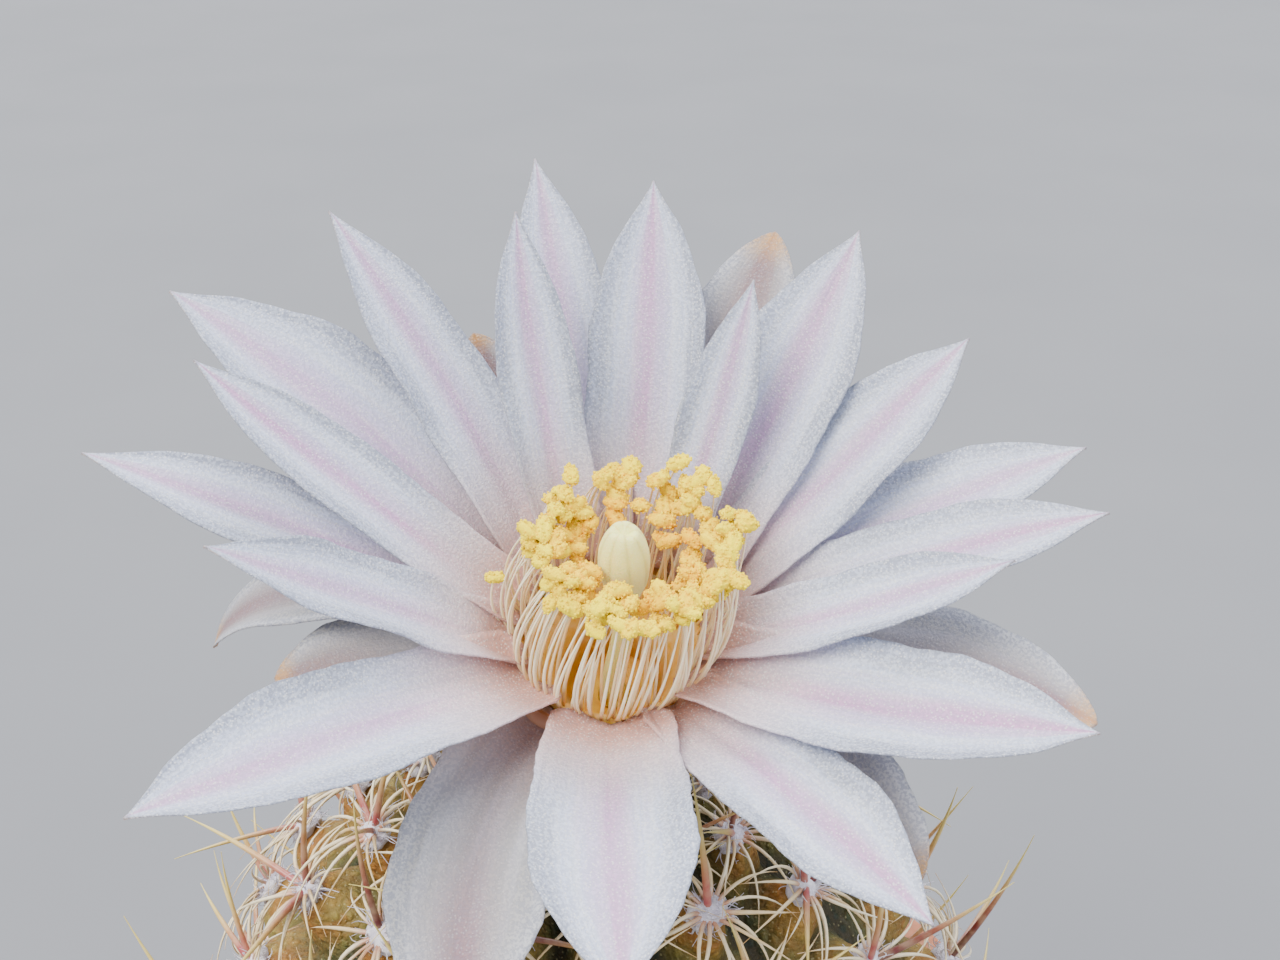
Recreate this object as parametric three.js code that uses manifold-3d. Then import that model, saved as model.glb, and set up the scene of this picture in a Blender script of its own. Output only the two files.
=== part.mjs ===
// A small globular cactus in bloom, standing in a clay pot. Units are millimetres, +Z is up, the origin is the centre
// of the pot's foot, and the open flower leans towards -Y.
// Sub-parts: the pot, the gritty soil, the ribbed stem with its areoles and spines, the bloom (receptacle, scales and
// tepals), the stamens on their yellow ring, and the pistil.
import * as THREE from "three";
import { mergeVertices } from "three/addons/utils/BufferGeometryUtils.js";
import Module from "manifold-3d";

const wasm = await Module();
wasm.setup();

// Touching pieces keep this gap, and slivers thinner than this step are merged away.
const GAP = 0.3;
const MERGE_STEP = 0.04;

// Turn from one piece of a spiral to the next, which never repeats
const GOLDEN_ANGLE = 2.39996;

// Pot
const POT_HEIGHT = 52;
const RIM_RADIUS = 30;
const RIM_MOUTH = 27;
const COLLAR_DEPTH = 11;
const BELOW_COLLAR_RADIUS = 26.5;
const FOOT_RADIUS = 20.5;
const POT_WALL = 3;
const POT_FLOOR = 4;
const DRAIN_RADIUS = 4;
const POT_BEVEL = 0.6;
const POT_SIDES = 36;

// Soil
const SOIL_TOP = 49.2;
const SOIL_HEAVE = 0.28;
const GRIT_COUNT = 22;
const GRIT_RADIUS = [0.9, 1.7];
const GRIT_BAND = [20.9, 24.2];

// Stem: a globe that stands in the soil by its lower part, on a short root neck
const STEM_CENTRE = new THREE.Vector3(0, 0, 57.8);
const STEM_RADIUS = 19.2;
const STEM_RISE = 21;
const STEM_FALL = 20;
const STEM_END_ANGLE = THREE.MathUtils.degToRad(116);
const NECK_RADIUS = 9;
const NECK_SLOPE = 2.6;
const NECK_TAPER = 3;
const NECK_FOOT = 44;
const RIBS = 13;
const ROWS_TURN = 6; // whole tubercles that a row climbs in one turn, which sets neighbours half a step apart
const FIRST_STEP = 2.6; // distance between tubercles at the crown
const STEP_GROWTH = 0.14; // how much that distance grows for each millimetre down the rib
const TUBERCLE_HEIGHT = 3.4;
const CHIN = 0.1; // how far below its areole a tubercle is highest, as a share of one step
const SAMPLES_PER_RIB = 4;
const SAMPLES_PER_TUBERCLE = 3;

// Areoles and spines
const CROWN_CLEAR = 6.5; // no areole nearer to the crown than this, where the flower stands
const SOIL_CLEAR = 6; // and none nearer than this to the end of the meridian, in the soil
const WOOL_SIZE = [1.4, 1.05, 0.85]; // half the pad's width round the stem, along the rib and out of the skin
const SPINE_FOOT = 0.25; // how far up in the pad the spines start
const SPINE_SET = [
  // turn round the areole (0 points down the rib), lean out of the surface, length, radius at the foot
  { turn: 72, lean: 20, length: 6.4, radius: 0.28 },
  { turn: -72, lean: 20, length: 6.4, radius: 0.28 },
  { turn: 168, lean: 52, length: 7.8, radius: 0.34 },
];
const SPINE_SCATTER = 14; // most that a spine turns off its place in the set
const SPINE_LENGTHS = [0.85, 1.1]; // shortest and longest, as shares of the length in the set
const SPINE_RELIEFS = [0, -18, -34]; // how far a spine is laid down to clear the flower

// Flower frame: its origin is the centre of the throat, and its +Z runs up the flower's axis
const THROAT = new THREE.Vector3(1.5, -3, 91.8);
const FLOWER_LEAN = THREE.MathUtils.degToRad(22);
const TUBE_SIDES = 24;
const TEPAL_THICKNESS = 0.6;
const TEPAL_ROWS = 6;
const TEPAL_CELLS = 2;
const WIDEST_AT = 0.55; // share of a tepal's length at which it is widest
const FOOT_WIDTH = 0.8; // share of the full width at the foot
const THINNEST_HALF = 0.3; // half the width that a tip keeps
const SCALE_COUNT = 14;
const SCALE_SPAN = [1.8, 4.4]; // first and last scale, as points along the tube's outer profile

// Each tepal: turn round the flower (0 is +X, 90 is +Y), rise above the throat's plane at its foot and at its tip,
// length, width, sideways bend and layer. The angles are in degrees.
const TEPALS = [
  // far side, from the left
  [171.5, 35, 15, 21.7, 4.7, -2, "main"],
  [164.5, 42, 28, 19.4, 4.4, -15, "inner"],
  [146, 40, 25, 22.7, 7.4, 13, "main"],
  [129, 48, 32, 21.0, 4.8, 5, "main"],
  [113, 62, 45, 17.5, 4.2, -16, "inner"],
  [99.5, 45, 35, 20.6, 5.4, 4, "main"],
  [81, 48, 35, 19.1, 6.3, 8, "main"],
  [55, 62, 45, 14.9, 3.8, 17, "inner"],
  [47, 46, 32, 19.4, 6.6, 15, "main"],
  [27, 42, 25, 18.2, 5.6, 12, "main"],
  // right side and front
  [14.5, 30, 15, 19.7, 5.7, -1, "main"],
  [2.5, 34.5, 16, 19.4, 5.1, 1, "main"],
  [-10.5, 35, 24, 15.1, 4.3, 17, "inner"],
  [-30.5, 22, 15, 18.7, 6.6, 16, "inner"],
  [-52, 26, -1, 16.3, 5.8, 2, "main"],
  [-90, 29, 6, 15.2, 7.6, 6, "main"],
  [-143.5, 28, 14, 19.8, 6.7, -1, "inner"],
  [192, 45, 36, 16.1, 4.6, -7, "inner"],
  // outer whorl, half hidden under the others
  [65, 40, 30, 18.8, 6.7, 2, "outer"],
  [92, 30, 18, 15.0, 6.0, 0, "outer"],
  [116, 35, 25, 13.5, 5.0, 0, "outer"],
  [138, 32, 20, 15.5, 5.0, 0, "outer"],
  [171, 37, -68, 19.4, 4.4, 4, "outer"],
  [-173, 6, -7, 11.3, 6.3, -1, "outer"],
  [-124, 0, -24, 15.2, 7.7, 42, "outer"],
  [-38, -4, 10, 13.6, 7.3, -15, "outer"],
  [-4.5, 15, -6, 18.5, 6.8, -23, "outer"],
];

// Where each whorl stands on the throat's wall, and how strongly its tepals are channelled
const WHORLS = {
  inner: { radius: 5.5, height: 0.1, channel: 0.62 },
  main: { radius: 5.8, height: -0.5, channel: 0.5 },
  outer: { radius: 5.7, height: -1.5, channel: 0.4 },
};

// Stamens and pistil, in the flower frame
const STAMEN_CIRCLES = [
  // foot: its height on the ring, belly (where the filament bends) and anther: radius and height
  { count: 20, foot: -1.4, belly: [6.5, 2.2], anther: [4.6, 6.6] },
  { count: 14, foot: -2.2, belly: [5.3, 1.8], anther: [3.8, 6.2] },
  { count: 9, foot: -3.2, belly: [4.2, 1.0], anther: [2.9, 5.6] },
];
const BUNDLE_LEAN = 0.027; // sideways shift of the stamens, for each squared millimetre above the throat
const STEEPER_FRONT = [0.3, 0.5]; // how much closer to the axis and how much higher the anthers at the front are
const STAMEN_RING_WALL = 0.55;
const FILAMENT_RADIUS = 0.17;
const ANTHER_SIZE = [0.75, 0.45, 0.42];
const STYLE_RADIUS = 0.55;
const STIGMA_RADIUS = 1.25;
const STIGMA_FOOT = 1.6;
const STIGMA_TOP = 8.3;
const STIGMA_LOBES = 8;
const STIGMA_SHIFT = 0.65; // the style bends sideways by this much below the stigma
const STYLE_BEND = [-5, 1]; // heights between which it bends

const { degToRad, lerp, smoothstep } = THREE.MathUtils;

// A repeatable stream of numbers from 0 to 1.
function seededRandom(seed) {
  let state = seed;
  return () => {
    state = (state * 1664525 + 1013904223) % 4294967296;
    return state / 4294967296;
  };
}

// A closed three.js geometry as a solid, with its faces turned outwards.
function toSolid(geometry) {
  const bare = new THREE.BufferGeometry().setAttribute("position", geometry.getAttribute("position"));
  bare.setIndex(geometry.index);
  const merged = mergeVertices(bare, 1e-4);
  const vertProperties = new Float32Array(merged.getAttribute("position").array);
  const triVerts = new Uint32Array(merged.index.array);
  const build = () => new wasm.Manifold(new wasm.Mesh({ numProp: 3, vertProperties, triVerts }));
  const made = build();
  if (made.volume() > 0) return made;
  for (let i = 0; i < triVerts.length; i += 3) {
    [triVerts[i + 1], triVerts[i + 2]] = [triVerts[i + 2], triVerts[i + 1]];
  }
  return build();
}

// The largest body of a solid as a named mesh. Loose scraps are dropped.
function toMesh(name, solid, material) {
  const body = solid.simplify(MERGE_STEP).decompose().reduce((a, b) => (a.volume() > b.volume() ? a : b));
  const { numProp, numVert, vertProperties, triVerts } = body.getMesh();
  const positions = new Float32Array(numVert * 3);
  for (let i = 0; i < numVert; i += 1) {
    positions.set(vertProperties.subarray(i * numProp, i * numProp + 3), i * 3);
  }
  const geometry = new THREE.BufferGeometry();
  geometry.setAttribute("position", new THREE.BufferAttribute(positions, 3));
  geometry.setIndex(new THREE.BufferAttribute(new Uint32Array(triVerts), 1));
  geometry.computeVertexNormals();
  const mesh = new THREE.Mesh(geometry, material);
  mesh.name = name;
  return mesh;
}

// A profile of [radius, height] pairs turned about +Z. It closes on itself or starts and ends on the axis.
function turned(profile, sides) {
  const points = profile.map(([r, z]) => new THREE.Vector2(r, z));
  return new THREE.LatheGeometry(points, sides).rotateX(Math.PI / 2);
}

// Moves every vertex of a geometry by a formula.
function shaped(geometry, formula) {
  const position = geometry.getAttribute("position");
  const p = new THREE.Vector3();
  for (let i = 0; i < position.count; i += 1) {
    p.fromBufferAttribute(position, i);
    formula(p);
    position.setXYZ(i, p.x, p.y, p.z);
  }
  return geometry;
}

const material = (color, roughness) => new THREE.MeshStandardMaterial({ color, roughness, metalness: 0 });

const MATERIALS = {
  pot: material(0xb4674a, 0.85),
  soil: material(0x6b5a48, 0.95),
  stem: material(0x8a7f45, 0.7),
  bloom: material(0xe9e2ee, 0.5),
  stamens: material(0xf2d34e, 0.75),
  pistil: material(0xf1efb0, 0.55),
};

// Pot: a thrown clay pot with a collar and a drain hole

const INNER_BEND_HEIGHT = POT_HEIGHT - COLLAR_DEPTH - POT_WALL;
const INNER_FLOOR_RADIUS = FOOT_RADIUS - POT_WALL + 0.4;

function potSolid() {
  const collar = POT_HEIGHT - COLLAR_DEPTH;
  const profile = [
    [DRAIN_RADIUS, 0],
    [FOOT_RADIUS - POT_BEVEL, 0],
    [FOOT_RADIUS, POT_BEVEL],
    [BELOW_COLLAR_RADIUS, collar],
    [RIM_RADIUS - POT_BEVEL, collar],
    [RIM_RADIUS, collar + POT_BEVEL],
    [RIM_RADIUS, POT_HEIGHT - POT_BEVEL],
    [RIM_RADIUS - POT_BEVEL, POT_HEIGHT],
    [RIM_MOUTH + POT_BEVEL, POT_HEIGHT],
    [RIM_MOUTH, POT_HEIGHT - POT_BEVEL],
    [BELOW_COLLAR_RADIUS - POT_WALL, INNER_BEND_HEIGHT],
    [INNER_FLOOR_RADIUS, POT_FLOOR],
    [DRAIN_RADIUS, POT_FLOOR],
    [DRAIN_RADIUS, 0],
  ];
  return toSolid(turned(profile, POT_SIDES));
}

// Stem: the plain form, then the tubercles raised from it

// Radius and height of the plain stem where its meridian has turned by an angle from the crown, in the stem's frame.
function meridian(angle, spare = 0) {
  const fall = angle < Math.PI / 2 ? STEM_RISE : STEM_FALL;
  return [(STEM_RADIUS + spare) * Math.sin(angle), (fall + spare) * Math.cos(angle)];
}

// The meridian as a list of stations, each with its distance down from the crown.
function meridianStations(count) {
  const stations = [];
  let length = 0;
  for (let i = 0; i <= count; i += 1) {
    const angle = (STEM_END_ANGLE * i) / count;
    const [r, z] = meridian(angle);
    if (i) {
      const last = stations[i - 1];
      length += Math.hypot(r - last.r, z - last.z);
    }
    stations.push({ angle, r, z, length });
  }
  return stations;
}

const MERIDIAN = meridianStations(400);
const MERIDIAN_LENGTH = MERIDIAN.at(-1).length;

// A place on a rib is the number of tubercles above it. The steps grow down the rib, so that number isn't a length.
const lengthAt = (place) => (FIRST_STEP * (Math.exp(STEP_GROWTH * place) - 1)) / STEP_GROWTH;
const LAST_PLACE = Math.log(1 + (STEP_GROWTH * MERIDIAN_LENGTH) / FIRST_STEP) / STEP_GROWTH;

// How far down its rib the tubercles at a turn about the axis start, from half a step up to half a step down.
function rowShift(turn) {
  const across = THREE.MathUtils.euclideanModulo((RIBS * turn) / (2 * Math.PI), RIBS);
  const rib = Math.floor(across);
  const ofRib = (k) => {
    const steps = (ROWS_TURN * k) / RIBS;
    return steps - Math.round(steps);
  };
  return lerp(ofRib(rib), ofRib((rib + 1) % RIBS), across - rib);
}

// Height of the tubercles above the plain stem at a turn about the axis and a place down the rib.
function tubercleRelief(turn, place) {
  const length = lengthAt(place);
  const rib = ((1 + Math.cos(RIBS * turn)) / 2) ** 0.75;
  const step = place - rowShift(turn) - CHIN;
  const tubercle = ((1 + Math.cos(2 * Math.PI * step)) / 2) ** 0.8;
  const crown = smoothstep(length, 1, 11);
  const soil = 1 - smoothstep(length, MERIDIAN_LENGTH - 6, MERIDIAN_LENGTH - 1);
  return TUBERCLE_HEIGHT * crown * soil * rib * (0.3 + 0.7 * tubercle);
}

// Point on the stem's skin in the part's frame, and the outward direction there.
function stemSkin(turn, place) {
  const { angle, r, z } = MERIDIAN.find((s) => s.length >= lengthAt(place)) ?? MERIDIAN.at(-1);
  const fall = angle < Math.PI / 2 ? STEM_RISE : STEM_FALL;
  const slope = new THREE.Vector2(Math.sin(angle) * fall, Math.cos(angle) * STEM_RADIUS).normalize();
  const out = new THREE.Vector3(slope.x * Math.cos(turn), slope.x * Math.sin(turn), slope.y);
  const point = new THREE.Vector3(r * Math.cos(turn), r * Math.sin(turn), z);
  point.addScaledVector(out, tubercleRelief(turn, place)).add(STEM_CENTRE);
  return { point, out };
}

// Radius and height, in the stem's frame, of the neck under the globe, with some spare around it.
function neck(spare = 0) {
  const [, bottom] = meridian(STEM_END_ANGLE);
  return [
    [NECK_RADIUS + spare, bottom - NECK_SLOPE],
    [NECK_RADIUS - NECK_TAPER + spare, NECK_FOOT - STEM_CENTRE.z - spare],
    [0, NECK_FOOT - STEM_CENTRE.z - spare],
  ];
}

// The heights of this lathe only number its rows. The formula then sends each row to its place, and shifts it up or
// down with the ribs' tubercles, so that every tubercle has its top on a vertex.
function stemBodySolid() {
  const places = [0];
  for (let i = 2; i / SAMPLES_PER_TUBERCLE < LAST_PLACE - 0.4; i += 1) places.push(i / SAMPLES_PER_TUBERCLE);
  places.push(LAST_PLACE);
  const foot = neck();
  const rows = Array.from({ length: places.length + foot.length }, (_, row) => [1, -row]);
  rows[0][0] = 0;
  rows.at(-1)[0] = 0;
  const form = shaped(turned(rows, RIBS * SAMPLES_PER_RIB), (p) => {
    const turn = Math.atan2(p.y, p.x);
    const row = Math.round(-p.z);
    if (row < places.length) {
      const place = places[row];
      const follow = smoothstep(place, 0, 1.5) * (1 - smoothstep(place, LAST_PLACE - 1, LAST_PLACE));
      p.copy(stemSkin(turn, place + follow * rowShift(turn)).point);
    } else {
      const [r, z] = foot[row - places.length];
      p.set(r * Math.cos(turn), r * Math.sin(turn), z).add(STEM_CENTRE);
    }
  });
  return toSolid(form);
}

// The hole that the stem stands in: its plain lower form, a gap wider.
function stemHoleSolid() {
  const profile = neck(GAP).toReversed();
  for (const share of [0, 0.2, 0.4, 0.6, 0.8, 1]) {
    profile.push(meridian(lerp(STEM_END_ANGLE, Math.PI / 2, share), GAP * (1 + share)));
  }
  profile.push([0, profile.at(-1)[1]]);
  return toSolid(turned(profile, POT_SIDES)).translate(STEM_CENTRE.toArray());
}

// The areoles: one on each tubercle that has room, as a turn and a place down the rib.
function areoles() {
  const found = [];
  for (let rib = 0; rib < RIBS; rib += 1) {
    const turn = (2 * Math.PI * rib) / RIBS;
    for (let row = 0; row < LAST_PLACE; row += 1) {
      const place = row + rowShift(turn);
      const length = lengthAt(place);
      if (length > CROWN_CLEAR && length < MERIDIAN_LENGTH - SOIL_CLEAR) found.push({ turn, place });
    }
  }
  return found;
}

// One spine: a slim three-sided cone with its foot inside the areole's pad. Relief lays it down, spare makes it fatter.
function spineSolid(areole, spine, relief, spare = 0) {
  const { point, out } = areole;
  const cone = new THREE.ConeGeometry(spine.radius + spare, spine.length, 3, 1).translate(0, spine.length / 2, 0);
  const down = areole.down.clone().applyAxisAngle(out, degToRad(spine.turn));
  const lean = degToRad(spine.lean + relief);
  const direction = down.multiplyScalar(Math.cos(lean)).addScaledVector(out, Math.sin(lean));
  const turn = new THREE.Quaternion().setFromUnitVectors(new THREE.Vector3(0, 1, 0), direction.normalize());
  cone.applyQuaternion(turn).translate(...point.clone().addScaledVector(out, SPINE_FOOT).toArray());
  return toSolid(cone);
}

// The globe with a pad of wool and its spines on each areole. The bloom and its socket are given in place.
function stemSolid(bloomInPlace, socket) {
  const pieces = [stemBodySolid()];
  const random = seededRandom(31);
  for (const { turn, place } of areoles()) {
    const { point, out } = stemSkin(turn, place);
    const around = new THREE.Vector3(-Math.sin(turn), Math.cos(turn), 0);
    const areole = { point, out, down: new THREE.Vector3().crossVectors(around, out) };
    const wool = new THREE.OctahedronGeometry(1).scale(...WOOL_SIZE);
    wool.applyMatrix4(new THREE.Matrix4().makeBasis(around, areole.down.clone().negate(), out).setPosition(point));
    const pad = toSolid(wool);
    if (!pad.intersect(socket).isEmpty()) continue;
    pieces.push(pad);
    for (const spine of SPINE_SET) {
      const own = { ...spine };
      own.turn += lerp(-SPINE_SCATTER, SPINE_SCATTER, random());
      own.length *= lerp(...SPINE_LENGTHS, random());
      // A spine that would meet the flower is laid down until it is clear, or left out.
      const relief = SPINE_RELIEFS.find((angle) => {
        return spineSolid(areole, own, angle, GAP).intersect(bloomInPlace).isEmpty();
      });
      if (relief !== undefined) pieces.push(spineSolid(areole, own, relief));
    }
  }
  return wasm.Manifold.union(pieces).subtract(socket);
}

// Soil: fills the pot to just below its rim, with larger grit on top

function soilSolid() {
  const bendRadius = BELOW_COLLAR_RADIUS - POT_WALL;
  const share = (SOIL_TOP - INNER_BEND_HEIGHT) / (POT_HEIGHT - POT_BEVEL - INNER_BEND_HEIGHT);
  const edge = lerp(bendRadius, RIM_MOUTH, share) - GAP;
  const profile = [
    [0, POT_FLOOR + GAP],
    [INNER_FLOOR_RADIUS - GAP, POT_FLOOR + GAP],
    [bendRadius - GAP, INNER_BEND_HEIGHT],
    [edge, SOIL_TOP],
  ];
  for (const share of [0.88, 0.75, 0.46, 0]) profile.push([edge * share, SOIL_TOP]);
  const heap = shaped(turned(profile, POT_SIDES), (p) => {
    const onTop = p.z > SOIL_TOP - GAP && Math.hypot(p.x, p.y) < edge - GAP;
    if (onTop) p.z += SOIL_HEAVE * (Math.sin(0.9 * p.x + 1) * Math.cos(0.8 * p.y) + Math.sin(1.7 * p.x - 1.3 * p.y));
  });
  const random = seededRandom(7);
  const stones = Array.from({ length: GRIT_COUNT }, (_, i) => {
    const turn = i * GOLDEN_ANGLE;
    const radius = lerp(...GRIT_BAND, random());
    const size = lerp(...GRIT_RADIUS, random());
    const stone = new THREE.IcosahedronGeometry(size).scale(1, lerp(0.65, 0.9, random()), 0.6);
    stone.rotateZ(random() * Math.PI);
    return toSolid(stone.translate(radius * Math.cos(turn), radius * Math.sin(turn), SOIL_TOP + 0.15 * size));
  });
  return wasm.Manifold.union([toSolid(heap), ...stones]).subtract(stemHoleSolid());
}

// Bloom: receptacle tube, scales and tepals

// The tube's wall as [radius, height] pairs, from the foot up the outside and down the inside to the floor.
const TUBE_OUTSIDE = [
  [2.3, -15.9],
  [3.2, -14.4],
  [3.6, -9.6],
  [4.6, -4.8],
  [6.1, -1.4],
  [6.4, -0.2],
];
const TUBE_INSIDE = [
  [5.5, 0.0],
  [5.1, -1.1],
  [4.1, -3.6],
  [3.1, -5.6],
  [2.0, -6.5],
];

function tubeSolid() {
  const profile = [[0, TUBE_OUTSIDE[0][1]], ...TUBE_OUTSIDE, ...TUBE_INSIDE, [0, TUBE_INSIDE.at(-1)[1]]];
  return toSolid(turned(profile, TUBE_SIDES));
}

// Share of the full width at a share of the length: narrow at the foot, and drawn out to a sharp or a rounded tip.
function widthShare(s, rounded) {
  if (s < WIDEST_AT) return FOOT_WIDTH + (1 - FOOT_WIDTH) * Math.sin((Math.PI / 2) * (s / WIDEST_AT));
  const q = (s - WIDEST_AT) / (1 - WIDEST_AT);
  return (1 - q ** 1.9) ** (rounded ? 0.7 : 1);
}

// Points of one tepal's middle surface, row by row from foot to tip, each with its normal.
function tepalRows([turn, footRise, tipRise, length, width, bend, layer]) {
  const whorl = WHORLS[layer];
  const direction = (s) => {
    const rise = degToRad(lerp(footRise, tipRise, s));
    const heading = degToRad(bend * s);
    const level = Math.cos(rise);
    return new THREE.Vector3(level * Math.cos(heading), level * Math.sin(heading), Math.sin(rise));
  };
  const middle = new THREE.Vector3(whorl.radius, 0, whorl.height);
  const rows = [];
  for (let i = 0; i <= TEPAL_ROWS; i += 1) {
    const s = i / TEPAL_ROWS;
    const along = direction(s);
    const side = new THREE.Vector3(0, 0, 1).cross(along).normalize();
    const up = new THREE.Vector3().crossVectors(along, side);
    const half = Math.max((width / 2) * widthShare(s, layer === "outer"), THINNEST_HALF);
    const row = [];
    for (let j = 0; j <= TEPAL_CELLS; j += 1) {
      const v = (2 * j) / TEPAL_CELLS - 1;
      const arc = whorl.channel * v;
      const point = middle.clone().addScaledVector(side, (half * Math.sin(arc)) / whorl.channel);
      point.addScaledVector(up, (half * (1 - Math.cos(arc))) / whorl.channel);
      const normal = up.clone().multiplyScalar(Math.cos(arc)).addScaledVector(side, -Math.sin(arc));
      row.push({ point, normal });
    }
    rows.push(row);
    middle.addScaledVector(direction(s + 0.5 / TEPAL_ROWS), length / TEPAL_ROWS);
  }
  const about = new THREE.Vector3(0, 0, 1);
  for (const { point, normal } of rows.flat()) {
    point.applyAxisAngle(about, degToRad(turn));
    normal.applyAxisAngle(about, degToRad(turn));
  }
  return rows;
}

// A blade of even thickness on those rows. Both faces are split into triangles alike.
function bladeSolid(rows, thickness) {
  const across = rows[0].length;
  const positions = [];
  for (const sign of [1, -1]) {
    for (const { point, normal } of rows.flat()) {
      positions.push(...point.clone().addScaledVector(normal, (sign * thickness) / 2).toArray());
    }
  }
  const lower = rows.length * across;
  const index = [];
  const quad = (a, b, c, d) => index.push(a, b, c, a, c, d);
  for (let i = 0; i + 1 < rows.length; i += 1) {
    for (let j = 0; j + 1 < across; j += 1) {
      const a = i * across + j;
      const [b, c, d] = [a + across, a + across + 1, a + 1];
      quad(a, b, c, d);
      index.push(lower + a, lower + c, lower + b, lower + a, lower + d, lower + c);
    }
    const left = i * across;
    const right = left + across - 1;
    quad(left, lower + left, lower + left + across, left + across);
    quad(right, right + across, lower + right + across, lower + right);
  }
  const last = lower - across;
  for (let j = 0; j + 1 < across; j += 1) {
    quad(j, j + 1, lower + j + 1, lower + j);
    quad(last + j, lower + last + j, lower + last + j + 1, last + j + 1);
  }
  const geometry = new THREE.BufferGeometry();
  geometry.setAttribute("position", new THREE.Float32BufferAttribute(positions, 3));
  geometry.setIndex(index);
  return toSolid(geometry);
}

// The scales on the outside of the tube: flat rounded lobes that lie along it, in a spiral.
function scaleSolid(i) {
  const share = i / (SCALE_COUNT - 1);
  const at = lerp(...SCALE_SPAN, share);
  const [lowR, lowZ] = TUBE_OUTSIDE[Math.floor(at)];
  const [highR, highZ] = TUBE_OUTSIDE[Math.floor(at) + 1];
  const part = at - Math.floor(at);
  const slope = Math.atan2(highR - lowR, highZ - lowZ);
  const scale = new THREE.OctahedronGeometry(1).scale(0.5, 1.3 + 0.4 * share, 1.5 + 0.6 * share);
  scale.rotateY(slope + 0.1);
  scale.translate(lerp(lowR, highR, part), 0, lerp(lowZ, highZ, part));
  return toSolid(scale.rotateZ(i * GOLDEN_ANGLE));
}

function bloomSolid() {
  const pieces = [tubeSolid()];
  for (const tepal of TEPALS) pieces.push(bladeSolid(tepalRows(tepal), TEPAL_THICKNESS));
  for (let i = 0; i < SCALE_COUNT; i += 1) pieces.push(scaleSolid(i));
  return wasm.Manifold.union(pieces).subtract(throatSolid());
}

// The socket that the tube's foot stands in at the stem's crown, a gap wider than the tube.
function socketSolid() {
  const wall = TUBE_OUTSIDE.map(([r, z]) => [r + GAP, z - GAP]);
  return toSolid(turned([[0, wall[0][1]], ...wall, [0, wall.at(-1)[1]]], TUBE_SIDES));
}

// What stays clear inside the throat, for the stamens and the pistil.
function throatSolid() {
  const rim = TUBE_INSIDE[0];
  const profile = [[0, TUBE_INSIDE.at(-1)[1]], ...TUBE_INSIDE.toReversed(), [rim[0] + 0.9, 1.6], [0, 1.6]];
  return toSolid(turned(profile, TUBE_SIDES));
}

// Stamens: a ring that lines the throat, with the filaments rooted in it

// Radius of the ring's outer face at a height: the tube's inner wall, less the gap.
function ringRadius(z) {
  const above = TUBE_INSIDE.findLastIndex(([, height]) => height >= z);
  const [[highR, highZ], [lowR, lowZ]] = TUBE_INSIDE.slice(above, above + 2);
  return lerp(lowR, highR, (z - lowZ) / (highZ - lowZ)) - GAP * 1.15;
}

function stamenRingSolid() {
  const heights = TUBE_INSIDE.slice(1, 4).map(([, z]) => z);
  const outside = heights.map((z) => [ringRadius(z), z]);
  const inside = heights.map((z) => [ringRadius(z) - STAMEN_RING_WALL, z]);
  return toSolid(turned([...outside, ...inside.toReversed(), outside[0]], TUBE_SIDES));
}

// One stamen: a bent filament and a two-celled anther across its tip.
function stamenPieces(circle, turn, random) {
  const shift = (amount) => lerp(-amount, amount, random());
  const front = Math.max(0, -Math.sin(turn));
  const radius = circle.anther[0] - STEEPER_FRONT[0] * front + shift(0.5);
  const height = circle.anther[1] + STEEPER_FRONT[1] * front + shift(0.6);
  const curve = new THREE.QuadraticBezierCurve3(
    new THREE.Vector3(ringRadius(circle.foot) - STAMEN_RING_WALL / 2, 0, circle.foot),
    new THREE.Vector3(circle.belly[0] + shift(0.3), shift(0.5), circle.belly[1]),
    new THREE.Vector3(radius, shift(0.5), height),
  );
  const filament = new THREE.CylinderGeometry(FILAMENT_RADIUS, FILAMENT_RADIUS, 1, 3, 2);
  shaped(filament, (p) => {
    const at = curve.getPoint(p.y + 0.5);
    p.set(at.x + p.x, at.y + p.z, at.z);
  });
  const pad = new THREE.OctahedronGeometry(1).scale(...ANTHER_SIZE);
  pad.rotateZ(random() * Math.PI).translate(...curve.getPoint(1).toArray());
  const leant = (g) => shaped(g, (p) => p.set(p.x + BUNDLE_LEAN * Math.max(p.z, 0) ** 2, p.y, p.z));
  return [filament, pad].map((g) => toSolid(leant(g.rotateZ(turn))));
}

function stamensSolid() {
  const random = seededRandom(19);
  const pieces = [stamenRingSolid()];
  for (const circle of STAMEN_CIRCLES) {
    const start = random() * Math.PI;
    for (let i = 0; i < circle.count; i += 1) {
      const turn = start + (2 * Math.PI * (i + 0.3 * random())) / circle.count;
      pieces.push(...stamenPieces(circle, turn, random));
    }
  }
  return wasm.Manifold.union(pieces);
}

// Pistil: a style that stands on the tube's floor, with its lobes closed in a ribbed club

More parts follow.
